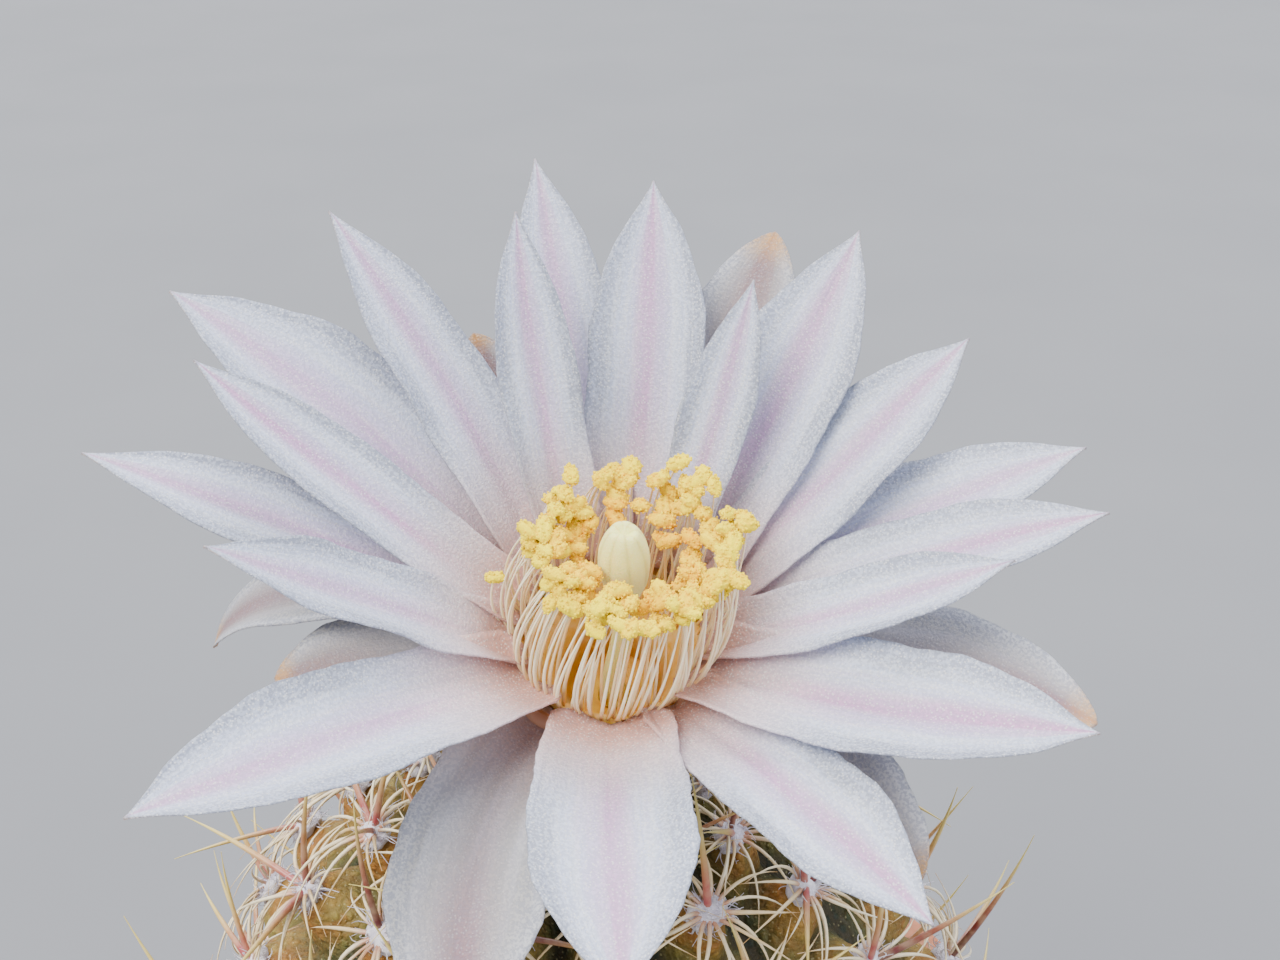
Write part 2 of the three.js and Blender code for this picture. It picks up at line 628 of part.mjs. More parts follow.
function pistilSolid() {
  const floor = TUBE_INSIDE.at(-1)[1] + GAP;
  const middle = (STIGMA_FOOT + STIGMA_TOP) / 2;
  const profile = [[0, floor], [STYLE_RADIUS + 0.3, floor], [STYLE_RADIUS, floor + 1.2]];
  for (const z of [-3, -1, STIGMA_FOOT]) profile.push([STYLE_RADIUS, z]);
  for (let i = 1; i <= 7; i += 1) {
    const share = i / 8;
    const radius = STIGMA_RADIUS * Math.sin(Math.PI * share ** 0.85) ** 0.55;
    profile.push([radius, lerp(STIGMA_FOOT, STIGMA_TOP, share)]);
  }
  profile.push([0, STIGMA_TOP - 0.15]);
  const club = shaped(turned(profile, STIGMA_LOBES * 2), (p) => {
    const turn = Math.atan2(p.y, p.x);
    const groove = p.z > STIGMA_FOOT + 0.2 ? 0.09 * (1 - Math.abs(p.z - middle) / 6) : 0;
    const k = 1 + groove * Math.cos(STIGMA_LOBES * turn);
    p.set(p.x * k + STIGMA_SHIFT * smoothstep(p.z, ...STYLE_BEND), p.y * k, p.z);
  });
  return toSolid(club);
}

// Assembly

const bloom = bloomSolid();
const flower = new THREE.Group();
flower.position.copy(THROAT);
flower.rotation.x = FLOWER_LEAN;
flower.updateMatrixWorld(true);

const inPlace = (solid) => solid.transform(flower.matrixWorld.elements);
const stem = stemSolid(inPlace(bloom), inPlace(socketSolid()));

flower.add(toMesh("bloom", bloom, MATERIALS.bloom));
flower.add(toMesh("stamens", stamensSolid(), MATERIALS.stamens));
flower.add(toMesh("pistil", pistilSolid(), MATERIALS.pistil));

const plant = new THREE.Group();
plant.add(toMesh("pot", potSolid(), MATERIALS.pot));
plant.add(toMesh("soil", soilSolid(), MATERIALS.soil));
plant.add(toMesh("stem", stem, MATERIALS.stem));
plant.add(flower);

export default plant;
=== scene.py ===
# %% [markdown]
# # A dwarf cactus in flower
#
# The object is a small globular cactus with one open flower, growing in gritty soil in a clay pot. The
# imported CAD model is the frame: it holds every piece at its real size and place, in one body named root.
# Each step below makes one piece again with the surface of the real one, and lets it stand for the CAD
# piece. Sizes are in millimetres, as a gardener would measure them, and become metres when a mesh is made.

# %% Load the frame and keep its box
import math

import bmesh
import bpy
import numpy as np
from mathutils import Euler, Matrix, Vector, noise
from mathutils.bvhtree import BVHTree


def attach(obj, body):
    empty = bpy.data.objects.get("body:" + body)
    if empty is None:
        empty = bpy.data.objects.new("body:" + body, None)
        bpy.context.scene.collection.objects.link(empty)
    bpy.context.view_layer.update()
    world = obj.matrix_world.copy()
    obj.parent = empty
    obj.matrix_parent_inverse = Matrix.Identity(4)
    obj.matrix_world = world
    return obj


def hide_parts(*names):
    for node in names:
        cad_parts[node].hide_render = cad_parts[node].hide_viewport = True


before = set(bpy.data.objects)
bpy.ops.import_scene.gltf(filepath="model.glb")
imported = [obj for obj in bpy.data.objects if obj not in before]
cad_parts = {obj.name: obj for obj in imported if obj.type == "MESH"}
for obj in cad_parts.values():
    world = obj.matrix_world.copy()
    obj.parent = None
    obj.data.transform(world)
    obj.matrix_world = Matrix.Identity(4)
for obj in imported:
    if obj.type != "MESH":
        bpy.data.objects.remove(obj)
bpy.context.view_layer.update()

MM = 0.001
BODY = "root"

# %% [markdown]
# ## The camera
#
# The view is a close-up, looking into the open flower from in front and above. The camera could be placed
# by eye, but three facts fix it better: how steeply it looks down, where in the picture the flower's throat
# lies, and how far away that throat is. The lens follows from the picture's perspective.

# %% Camera
THROAT = np.array([1.5, -3.0, 91.8])
THROAT_PIXEL = (612, 628)
THROAT_DISTANCE = 74.0
PICTURE_SIZE = (1280, 960)
FOCAL_PIXELS = 1480.0
LOOKS_DOWN = math.radians(28)
SENSOR_WIDTH = 36.0

look = np.array([0, math.cos(LOOKS_DOWN), -math.sin(LOOKS_DOWN)])
up = np.array([0, math.sin(LOOKS_DOWN), math.cos(LOOKS_DOWN)])
right = np.array([1.0, 0, 0])
aside = (THROAT_PIXEL[0] - PICTURE_SIZE[0] / 2) / FOCAL_PIXELS
above = (PICTURE_SIZE[1] / 2 - THROAT_PIXEL[1]) / FOCAL_PIXELS
eye = THROAT - THROAT_DISTANCE * (look + aside * right + above * up)

camera_data = bpy.data.cameras.new("camera")
camera_data.sensor_width = SENSOR_WIDTH
camera_data.lens = FOCAL_PIXELS / PICTURE_SIZE[0] * SENSOR_WIDTH
camera_data.clip_start = 0.001
camera = bpy.data.objects.new("camera", camera_data)
camera.location = eye * MM
camera.rotation_euler = (math.pi / 2 - LOOKS_DOWN, 0, 0)
bpy.context.scene.collection.objects.link(camera)
bpy.context.scene.camera = camera
print("camera at", eye.round(1), "mm, lens", round(camera_data.lens, 2), "mm")

# %% [markdown]
# ## Small tools for node trees
#
# Both Geometry Nodes and materials are node trees, and building them in Python takes the same few moves:
# add a node, fill its inputs with a number or with another node's output, and do a little arithmetic. Short
# helpers for those moves keep the trees further down readable. A second set does what only trees that make
# meshes do: read the values that points carry, push points, and end with real geometry in its finish.


# %% Helpers for node trees
def fill(tree, socket, value):
    """Gives an input its value: another node's output is linked, anything else is set."""
    if isinstance(value, bpy.types.NodeSocket):
        tree.links.new(value, socket)
    else:
        socket.default_value = value


def add(tree, kind, values=None, **settings):
    """Adds a node, sets its options and fills its inputs by name."""
    node = tree.nodes.new(kind)
    for key, value in settings.items():
        setattr(node, key, value)
    for key, value in (values or {}).items():
        fill(tree, node.inputs[key], value)
    return node


def calc(tree, operation, *values):
    """One step of arithmetic."""
    node = add(tree, "ShaderNodeMath", operation=operation)
    for socket, value in zip(node.inputs, values):
        fill(tree, socket, value)
    return node.outputs[0]


def times(tree, value, factor, start=0.0):
    """A value times a factor, counted from a start."""
    return calc(tree, "MULTIPLY_ADD", value, factor, start)


def eased(tree, value, low, high):
    """0 below low and 1 above high, with a soft step between. It falls where low is above high."""
    values = {"Value": value, "From Min": low, "From Max": high}
    return add(tree, "ShaderNodeMapRange", values, interpolation_type="SMOOTHSTEP").outputs[0]


MIX_PLACES = {"VECTOR": (4, 5, 1), "RGBA": (6, 7, 2)}


def mixed(tree, kind, share, first, second):
    """Goes from the first value to the second. A Mix node has places of its own for each kind of value."""
    node = add(tree, "ShaderNodeMix", data_type=kind)
    first_input, second_input, output = MIX_PLACES[kind]
    for index, value in ((0, share), (first_input, first), (second_input, second)):
        fill(tree, node.inputs[index], value)
    return node.outputs[output]


def new_tree(name, kind, inputs, outputs):
    """A node group with named inputs, each with its type and first value, and named outputs."""
    tree = bpy.data.node_groups.new(name, kind)
    for label, socket_type, value in inputs:
        socket = tree.interface.new_socket(label, in_out="INPUT", socket_type="NodeSocket" + socket_type)
        if value is not None:
            socket.default_value = value
    for label, socket_type in outputs:
        tree.interface.new_socket(label, in_out="OUTPUT", socket_type="NodeSocket" + socket_type)
    return tree, add(tree, "NodeGroupInput").outputs


print("node helpers ready")


# %% Helpers for Geometry Nodes
GEOMETRY = ("Geometry", "Geometry", None)
FINISH = ("Finish", "Material", None)


def grower(name, inputs):
    """A Geometry Nodes tree from points to a piece in its finish."""
    return new_tree(name, "GeometryNodeTree", [GEOMETRY, *inputs, FINISH], [GEOMETRY[:2]])


def point_value(tree, name, kind="FLOAT"):
    """The value of that name which each point carries."""
    return add(tree, "GeometryNodeInputNamedAttribute", {"Name": name}, data_type=kind).outputs["Attribute"]


def lumps_of(tree, size, detail):
    """Soft noise from -0.5 to 0.5 at each point, with lumps about one size across."""
    where = add(tree, "GeometryNodeInputPosition").outputs[0]
    values = {"Vector": where, "Scale": calc(tree, "DIVIDE", 1, size), "Detail": detail}
    return calc(tree, "SUBTRACT", add(tree, "ShaderNodeTexNoise", values).outputs[0], 0.5)


def pushed(tree, geometry, direction, distance):
    """Moves each point by a distance in a direction."""
    push = add(tree, "ShaderNodeVectorMath", {"Vector": direction, "Scale": distance}, operation="SCALE")
    return add(tree, "GeometryNodeSetPosition", {"Geometry": geometry, "Offset": push.outputs[0]}).outputs[0]


def end_tree(tree, geometry, finish):
    """Ends a tree with real geometry, since copies that aren't real are dropped, and gives it its finish."""
    real = add(tree, "GeometryNodeRealizeInstances", {"Geometry": geometry}).outputs[0]
    finished = add(tree, "GeometryNodeSetMaterial", {"Geometry": real, "Material": finish})
    add(tree, "NodeGroupOutput", {"Geometry": finished.outputs[0]})
    return tree


print("helpers for Geometry Nodes ready")

# %% [markdown]
# ## Small tools for meshes
#
# A piece is a mesh made in code, or the result of a Geometry Nodes tree. In both cases it ends as a plain
# mesh whose place is in its points, so that its own coordinates are the object's, and patterns stay put on
# it.


# %% Helpers for meshes
def lerp(low, high, share):
    return low + (high - low) * share


def smoothstep(value, low, high):
    t = np.clip((np.asarray(value, float) - low) / (high - low), 0, 1)
    return t * t * (3 - 2 * t)


def unit(vectors):
    return vectors / np.linalg.norm(vectors, axis=-1, keepdims=True)


def new_piece(name, points, faces, finish=None, values=None, smooth=True):
    """A mesh object from points in millimetres. Values are named numbers or vectors, one for each point."""
    mesh = bpy.data.meshes.new(name)
    mesh.from_pydata((np.asarray(points) * MM).tolist(), [], faces)
    for key, column in (values or {}).items():
        column = np.asarray(column)
        kind = "FLOAT_VECTOR" if column.ndim == 2 else "INT" if column.dtype.kind == "i" else "FLOAT"
        attribute = mesh.attributes.new(key, kind, "POINT")
        attribute.data.foreach_set("vector" if column.ndim == 2 else "value", column.ravel())
    mesh.polygons.foreach_set("use_smooth", [smooth] * len(mesh.polygons))
    if finish:
        mesh.materials.append(finish)
    piece = bpy.data.objects.new(name, mesh)
    bpy.context.scene.collection.objects.link(piece)
    return piece


def grown(piece, tree, values):
    """Runs a Geometry Nodes tree on a piece and keeps the result as its plain mesh."""
    modifier = piece.modifiers.new("grow", "NODES")
    modifier.node_group = tree
    for item in tree.interface.items_tree:
        if item.in_out == "INPUT" and item.name in values:
            modifier[item.identifier] = values[item.name]
    depsgraph = bpy.context.evaluated_depsgraph_get()
    result = piece.evaluated_get(depsgraph)
    mesh = bpy.data.meshes.new_from_object(result, preserve_all_data_layers=True, depsgraph=depsgraph)
    piece.modifiers.clear()
    piece.data = mesh
    return piece


def keep(piece, node):
    """A finished piece rides with the object and stands for its CAD node."""
    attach(piece, BODY)
    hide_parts(node)
    points = np.zeros(len(piece.data.vertices) * 3)
    piece.data.vertices.foreach_get("co", points)
    points = points.reshape(-1, 3) / MM
    triangles = sum(len(face.vertices) - 2 for face in piece.data.polygons)
    low, high = points.min(0).round(1), points.max(0).round(1)
    print(f"{piece.name}: {triangles} triangles, from {low} to {high} mm")


def turned(profile, sides, closed=False):
    """Points and faces of [radius, height] pairs turned about +Z. A pair on the axis becomes a pole."""
    turns = np.linspace(0, 2 * math.pi, sides, endpoint=False)
    points, rings, faces = [], [], []
    for radius, height in profile:
        first = len(points)
        if radius < 1e-6:
            points.append((0, 0, height))
        else:
            points += [(radius * math.cos(t), radius * math.sin(t), height) for t in turns]
        rings.append(range(first, len(points)))
    for low, high in zip(rings, rings[1:] + (rings[:1] if closed else [])):
        for i in range(sides if len(low) + len(high) > 2 else 0):
            j = (i + 1) % sides
            if len(low) == 1:
                faces.append((low[0], high[j], high[i]))
            elif len(high) == 1:
                faces.append((low[i], low[j], high[0]))
            else:
                faces.append((low[i], low[j], high[j], high[i]))
    return np.array(points, float), faces


def softened(corners, spacing):
    """A closed profile through [radius, height, rounding] corners, with a point at least every spacing."""
    places = [np.array(corner[:2], float) for corner in corners]
    path = []
    for i, (here, (_, _, rounding)) in enumerate(zip(places, corners)):
        start = here + rounding * unit(places[i - 1] - here)
        end = here + rounding * unit(places[(i + 1) % len(places)] - here)
        path += [(1 - t) ** 2 * start + 2 * t * (1 - t) * here + t * t * end for t in np.linspace(0, 1, 7)]
    filled = []
    for here, after in zip(path, path[1:] + path[:1]):
        steps = max(1, math.ceil(np.linalg.norm(after - here) / spacing))
        filled += [lerp(here, after, k / steps) for k in range(steps)]
    return filled


def ripple(points, size, seed=0.0):
    """Soft noise from -1 to 1 at each point, with lumps about one size across."""
    return np.array([noise.noise(Vector(p) / size + Vector((seed, 0, 0))) for p in points])


print("mesh helpers ready")

# %% [markdown]
# ## What the finishes share
#
# Clay, skin, grit and petals look different, but three effects come back in many of them: soft patches of
# another tone, small specks or pores, and fine fibres that run along a part. Each is a node group with its
# sizes as inputs, and each finish places it with values of its own. The groups put out masks only, and the
# shader stays outside.

# %% Shared effects: patches, specks and fibres
PLACE = ("Place", "Vector", None)
MASK = [("Mask", "Float")]


def patches_group():
    """Soft patches of about one size, with harder edges the sharper they are."""
    inputs = [PLACE, ("Size", "Float", 0.005), ("Sharpness", "Float", 0.3)]
    tree, given = new_tree("patches", "ShaderNodeTree", inputs, MASK)
    values = {"Vector": given["Place"], "Scale": calc(tree, "DIVIDE", 1, given["Size"]), "Detail": 4.0}
    cloud = add(tree, "ShaderNodeTexNoise", values).outputs[0]
    half_step = times(tree, given["Sharpness"], -0.22, 0.25)
    low, high = (calc(tree, operation, 0.5, half_step) for operation in ("SUBTRACT", "ADD"))
    add(tree, "NodeGroupOutput", {"Mask": eased(tree, cloud, low, high)})
    return tree


def specks_group():
    """One speck in each cell of a spacing. Its size is a share of the cell."""
    inputs = [PLACE, ("Spacing", "Float", 0.001), ("Size", "Float", 0.3)]
    tree, given = new_tree("specks", "ShaderNodeTree", inputs, MASK)
    values = {"Vector": given["Place"], "Scale": calc(tree, "DIVIDE", 1, given["Spacing"])}
    distance = add(tree, "ShaderNodeTexVoronoi", values).outputs["Distance"]
    core = times(tree, given["Size"], 0.4)
    add(tree, "NodeGroupOutput", {"Mask": eased(tree, distance, given["Size"], core)})
    return tree


def fibres_group():
    """Fibres that run along a part, so many across it, and wander a little on their way."""
    inputs = [("Across", "Float", 0), ("Along", "Float", 0), ("Count", "Float", 20), ("Wander", "Float", 2)]
    tree, given = new_tree("fibres", "ShaderNodeTree", inputs, MASK)
    across, along = times(tree, given["Across"], given["Count"]), times(tree, given["Along"], given["Wander"])
    where = add(tree, "ShaderNodeCombineXYZ", {"X": across, "Y": along}).outputs[0]
    strips = add(tree, "ShaderNodeTexNoise", {"Vector": where, "Scale": 1.0}).outputs[0]
    add(tree, "NodeGroupOutput", {"Mask": eased(tree, strips, 0.35, 0.65)})
    return tree


patches, specks, fibres = patches_group(), specks_group(), fibres_group()
print("effects:", [group.name for group in (patches, specks, fibres)])


# %% Helpers for finishes
def colour(code):
    """A colour written as a web code, as the linear values that shaders use."""
    parts = [int(code[i : i + 2], 16) / 255 for i in (1, 3, 5)]
    return [p / 12.92 if p <= 0.04045 else ((p + 0.055) / 1.055) ** 2.4 for p in parts] + [1.0]


def new_finish(name, constants):
    """A material, its tree and its shader, which is given the values that are the same all over."""
    finish = bpy.data.materials.new(name)
    finish.use_nodes = True
    shader = finish.node_tree.nodes["Principled BSDF"]
    for key, value in constants.items():
        shader.inputs[key].default_value = value
    return finish, finish.node_tree, shader


def tinted(tree, mask, first, second):
    """Goes from the first colour to the second by a mask. A colour is a web code or another node's output."""
    first, second = (colour(value) if isinstance(value, str) else value for value in (first, second))
    return mixed(tree, "RGBA", mask, first, second)


def layered(tree, body, *layers):
    """Lays layers over a colour, one after another. A layer is a mask, its share and a colour."""
    for mask, share, tint in layers:
        body = tinted(tree, times(tree, mask, share), body, tint)
    return body


def place_of(tree):
    return add(tree, "ShaderNodeTexCoord").outputs["Object"]


def height_of(tree):
    """Height above the surface that the pot stands on, in metres."""
    return add(tree, "ShaderNodeSeparateXYZ", {"Vector": place_of(tree)}).outputs["Z"]


def named_value(tree, name):
    return add(tree, "ShaderNodeAttribute", attribute_name=name).outputs["Fac"]


def mask_of(tree, group, values):
    return add(tree, "ShaderNodeGroup", values, node_tree=group).outputs["Mask"]


def patchy(tree, size, sharpness):
    """The shared patches in a finish, with their size in millimetres."""
    return mask_of(tree, patches, {"Place": place_of(tree), "Size": size * MM, "Sharpness": sharpness})


def speckled(tree, spacing, size):
    """The shared specks in a finish, with their spacing in millimetres."""
    return mask_of(tree, specks, {"Place": place_of(tree), "Spacing": spacing * MM, "Size": size})


def streaked(tree, count, wander):
    """The shared fibres along a blade, which carries its own values across and along."""
    lanes = {"Across": named_value(tree, "across"), "Along": named_value(tree, "along")}
    return mask_of(tree, fibres, {**lanes, "Count": count, "Wander": wander})


def off_middle_of(tree):
    """How far a point of a blade lies from its midline: 0 on it and 1 at the margin."""
    return calc(tree, "ABSOLUTE", times(tree, named_value(tree, "across"), 2, -1))


def painted(tree, shader, body, rough=None):
    """Gives a shader its colour, and a roughness as a mask, its effect and a start."""
    fill(tree, shader.inputs["Base Color"], body)
    if rough:
        fill(tree, shader.inputs["Roughness"], times(tree, *rough))


def roughen(tree, shader, height, strength, distance):
    """Turns a height into small bumps of that size, in millimetres."""
    values = {"Height": height, "Strength": strength, "Distance": distance * MM}
    fill(tree, shader.inputs["Normal"], add(tree, "ShaderNodeBump", values).outputs[0])


print("finish helpers ready")

# %% [markdown]
# ## The clay pot
#
# The real pot is thrown from red clay, dried and fired without a glaze. It has a thick collar, a slightly
# wavering wall with faint throwing rings, soft lips and a drain hole. It could be a stack of cylinders, but
# the profile of a thrown pot is one line, so it is turned in one piece, and its rings and its wobble are
# pushed into the mesh. Lime from the watering dries out as pale clouds near the rim and the foot, and the
# clay has open pores.


# %% Finish: fired clay
def clay_finish():
    finish, tree, shader = new_finish("fired_clay", {"Specular IOR Level": 0.25})
    cloudy, grainy = patchy(tree, 9, 0.1), patchy(tree, 0.9, 0.5)
    lime, haze = patchy(tree, 2.5, 0.3), patchy(tree, 11, 0.0)
    pores, height = speckled(tree, 1.1, 0.2), height_of(tree)
    near_rim, near_foot = eased(tree, height, 39 * MM, 53 * MM), eased(tree, height, 14 * MM, 0.0)
    edges = times(tree, calc(tree, "MAXIMUM", near_rim, near_foot), haze)
    limed = times(tree, edges, 0.45, times(tree, lime, times(tree, edges, 0.3, 0.05)))
    body = layered(
        tree, tinted(tree, cloudy, "#a9603f", "#c27a55"),
        (grainy, 0.3, "#8d4c33"), (limed, 1, "#dccab8"), (pores, 0.5, "#6e3a28"),
    )
    painted(tree, shader, body, (grainy, 0.12, 0.8))
    roughen(tree, shader, calc(tree, "SUBTRACT", times(tree, grainy, 0.5), pores), 0.5, 0.12)
    return finish


# %% Pot
POT_HEIGHT = 52.0
RIM_RADIUS = 30.0
RIM_MOUTH = 27.0
COLLAR = 41.0
BELOW_COLLAR = 26.5
FOOT_RADIUS = 20.5
POT_WALL = 3.0
POT_FLOOR = 4.0
DRAIN_RADIUS = 4.0
BEND = 38.0
LIP_BEVEL = 0.6
FLOOR_EDGE = FOOT_RADIUS - POT_WALL + 0.4
POT_SIDES = 144
POT_CORNERS = [
    # radius, height, rounding
    (DRAIN_RADIUS, 0, 0.5), (FOOT_RADIUS, 0, 0.9), (BELOW_COLLAR, COLLAR, 0.4), (RIM_RADIUS, COLLAR, 0.9),
    (RIM_RADIUS, POT_HEIGHT, 1.4), (RIM_MOUTH, POT_HEIGHT, 1.3), (BELOW_COLLAR - POT_WALL, BEND, 2.0),
    (FLOOR_EDGE, POT_FLOOR, 2.0), (DRAIN_RADIUS, POT_FLOOR, 0.5),
]
THROWING_RING = 1.7
RING_DEPTH = 0.05
WOBBLE = 0.12

points, faces = turned(softened(POT_CORNERS, 0.8), POT_SIDES, closed=True)
radius = np.hypot(points[:, 0], points[:, 1])
off_the_lips = (points[:, 2] > 1) & (points[:, 2] < POT_HEIGHT - 1)
outside = smoothstep(radius, FOOT_RADIUS - 1, FOOT_RADIUS) * off_the_lips
ring_phase = 2 * math.pi * points[:, 2] / THROWING_RING + ripple(points, 14) * 2
inward = outside * RING_DEPTH * (1 + np.sin(ring_phase)) + WOBBLE * (1 + ripple(points, 17, 3)) / 2
points[:, :2] *= (1 - inward / radius)[:, None]
keep(new_piece("clay_pot", points, faces, clay_finish()), "pot")

# %% [markdown]
# ## The soil and its grit
#
# Such a cactus grows in a lean mix: mostly pumice, crushed lava and granite, with a little peat between the
# grains. The filling is one turned solid with an uneven top and a hollow that the stem's foot stands in.
# The loose grains on it are many and alike, which is work for Geometry Nodes: eight chipped stones are
# modelled, and a tree picks one of them for each root point, turns it, sizes it and makes the copies real.


# %% Finishes: peat and stone
STONE_KINDS = [
    # the tone from which a kind of stone starts, and its colour
    (0.34, "#8f8b84"), (0.54, "#6d4234"), (0.72, "#a08561"), (0.84, "#4d3a2c"), (0.93, "#c9c8c4"),
]


def peat_finish():
    finish, tree, shader = new_finish("peat", {"Roughness": 0.95, "Specular IOR Level": 0.2})
    crumbs, dust = patchy(tree, 0.7, 0.6), speckled(tree, 0.6, 0.3)
    painted(tree, shader, layered(tree, tinted(tree, crumbs, "#2d2018", "#5a4433"), (dust, 0.5, "#9c8a70")))
    roughen(tree, shader, crumbs, 0.7, 0.25)
    return finish


def stone_finish():
    finish, tree, shader = new_finish("chipped_stone", {"Specular IOR Level": 0.35})
    tone, body = named_value(tree, "tone"), "#d2c6aa"
    for start, tint in STONE_KINDS:
        body = tinted(tree, calc(tree, "GREATER_THAN", tone, start), body, tint)
    grains, pits = patchy(tree, 0.35, 0.7), speckled(tree, 0.3, 0.35)
    body = layered(tree, body, (grains, 0.3, "#f2ead8"), (pits, 0.4, "#3a2c22"))
    painted(tree, shader, body, (grains, 0.2, 0.7))
    roughen(tree, shader, calc(tree, "SUBTRACT", grains, pits), 0.6, 0.08)
    return finish


# %% Soil
GAP = 0.3
SOIL_TOP = 49.2
SOIL_HEAVE = 0.28
CRUMB_SIZE, CRUMB_HEIGHT, CRUMB_DEPTH = 0.8, 0.3, 0.25
HOLLOW = [(17.6, SOIL_TOP), (17.2, 48.8), (9.3, 46.4), (6.3, 43.7), (0, 43.7)]
SOIL_SIDES = 160
SOIL_RING_STEP = 0.4


def heave(x, y):
    """Height of the soil's soft swells at a place."""
    return SOIL_HEAVE * (np.sin(0.9 * x + 1) * np.cos(0.8 * y) + np.sin(1.7 * x - 1.3 * y))


inner_bend = BELOW_COLLAR - POT_WALL
edge = lerp(inner_bend, RIM_MOUTH, (SOIL_TOP - BEND) / (POT_HEIGHT - LIP_BEVEL - BEND)) - GAP
floor_height = POT_FLOOR + GAP
foot = [(0, floor_height), (FLOOR_EDGE - GAP, floor_height), (inner_bend - GAP, BEND)]
top = [(r, SOIL_TOP) for r in np.arange(edge, HOLLOW[0][0] + 0.1, -SOIL_RING_STEP)]
points, faces = turned(foot + top + HOLLOW, SOIL_SIDES)
radius = np.hypot(points[:, 0], points[:, 1])
on_top = (points[:, 2] > SOIL_TOP - GAP) & (radius < edge - GAP)
crumble = heave(points[:, 0], points[:, 1]) + CRUMB_HEIGHT * ripple(points, CRUMB_SIZE) - CRUMB_DEPTH
points[:, 2] += on_top * crumble
keep(new_piece("soil_filling", points, faces, peat_finish()), "soil")


# %% A tree that places copies
def copies_tree():
    """Geometry Nodes: a shape from a collection on each root point, turned, sized and roughened."""
    tree, given = grower("copies", [
        ("Shapes", "Collection", None), ("Lump Size", "Float", 0.001), ("Lump Height", "Float", 0.0),
        ("Smooth", "Bool", False),
    ])
    shelf = {"Collection": given["Shapes"], "Separate Children": True, "Reset Children": True}
    placed = add(tree, "GeometryNodeInstanceOnPoints", {
        "Points": given["Geometry"], "Instance": add(tree, "GeometryNodeCollectionInfo", shelf).outputs[0],
        "Pick Instance": True, "Instance Index": point_value(tree, "shape", "INT"),
        "Rotation": point_value(tree, "turn", "FLOAT_VECTOR"),
        "Scale": point_value(tree, "size", "FLOAT_VECTOR"),
    })
    real = add(tree, "GeometryNodeRealizeInstances", {"Geometry": placed.outputs[0]}).outputs[0]
    rise = times(tree, lumps_of(tree, given["Lump Size"], 2.0), given["Lump Height"])
    lumpy = pushed(tree, real, add(tree, "GeometryNodeInputNormal").outputs[0], rise)
    shaded = add(tree, "GeometryNodeSetShadeSmooth", {"Geometry": lumpy, "Shade Smooth": given["Smooth"]})
    return end_tree(tree, shaded.outputs[0], given["Finish"])


COPIES = copies_tree()


def copied(name, shapes, values, inputs):
    """A piece made of copies of some shapes. The values give each one's place, turn, size, shape and tone."""
    shelf = bpy.data.collections.new(name + "_shapes")
    for shape in shapes:
        bpy.context.scene.collection.objects.unlink(shape)
        shelf.objects.link(shape)
    places, count = values.pop("place"), len(values["size"])
    values = {"shape": np.zeros(count, int), "tone": np.zeros(count), **values}
    piece = grown(new_piece(name, places, [], values=values), COPIES, {"Shapes": shelf, **inputs})
    for shape in shapes:
        bpy.data.objects.remove(shape)
    bpy.data.collections.remove(shelf)
    return piece


print("tree:", COPIES.name, "sockets:", [item.name for item in COPIES.interface.items_tree])


# %% Grit
GOLDEN_ANGLE = 2.39996
STONE_SHAPES = 8
BIG_STONES = 22
BIG_STONE_BAND = (20.9, 24.2)
BIG_STONE_RADIUS = (0.9, 1.7)
SMALL_STONES = 1250
SMALL_STONE_BAND = (17.7, 25.7)
SMALL_STONE_RADIUS = (0.32, 0.87)
SMALL_STONE_BIAS = 1.8


def chipped_stone(name, seed):
    """The hull of a few points near a sphere, which has the flat faces and blunt corners of crushed stone."""
    random = np.random.default_rng(seed)
    form = bmesh.new()
    for direction in unit(random.normal(size=(17, 3))):
        form.verts.new(direction * random.uniform(0.85, 1.05) * MM)
    bmesh.ops.convex_hull(form, input=form.verts)
    stone = new_piece(name, [], [])
    form.to_mesh(stone.data)
    form.free()
    return stone


def seeded_numbers(seed):
    """The same numbers from 0 to 1 that place the frame's big stones."""
    state = seed
    while True:
        state = (state * 1664525 + 1013904223) % 4294967296
        yield state / 4294967296


draw = seeded_numbers(7)
random = np.random.default_rng(11)
places, turns, sizes = [], [], []
for i in range(BIG_STONES):
    far, size = lerp(*BIG_STONE_BAND, next(draw)), lerp(*BIG_STONE_RADIUS, next(draw))
    flat, turn = lerp(0.65, 0.9, next(draw)), next(draw) * math.pi
    x, y = far * math.cos(i * GOLDEN_ANGLE), far * math.sin(i * GOLDEN_ANGLE)
    places.append((x, y, SOIL_TOP + 0.15 * size))
    sizes.append((size, size * flat, size * 0.6))
    turns.append((0, 0, turn))
for i in range(SMALL_STONES):
    size = lerp(*SMALL_STONE_RADIUS, random.random() ** SMALL_STONE_BIAS)
    far = math.sqrt(lerp(SMALL_STONE_BAND[0] ** 2, (SMALL_STONE_BAND[1] - size / 2) ** 2, random.random()))
    turn = random.uniform(0, 2 * math.pi)
    x, y = far * math.cos(turn), far * math.sin(turn)
    places.append((x, y, SOIL_TOP + heave(x, y) + size * random.uniform(-0.1, 0.45)))
    sizes.append(size * random.uniform((0.9, 0.7, 0.55), (1.2, 1.0, 0.85)))
    turns.append(random.uniform(-0.5, 0.5, 3) + (0, 0, turn * 7))
stones = [chipped_stone(f"stone_{i}", 40 + i) for i in range(STONE_SHAPES)]
picks, tones = random.integers(0, STONE_SHAPES, len(places)), random.random(len(places))
grit = copied(
    "grit", stones, {"place": places, "turn": turns, "size": sizes, "shape": picks, "tone": tones},
    {"Finish": stone_finish(), "Lump Size": 0.5 * MM, "Lump Height": 0.12 * MM},
)
keep(grit, "soil")
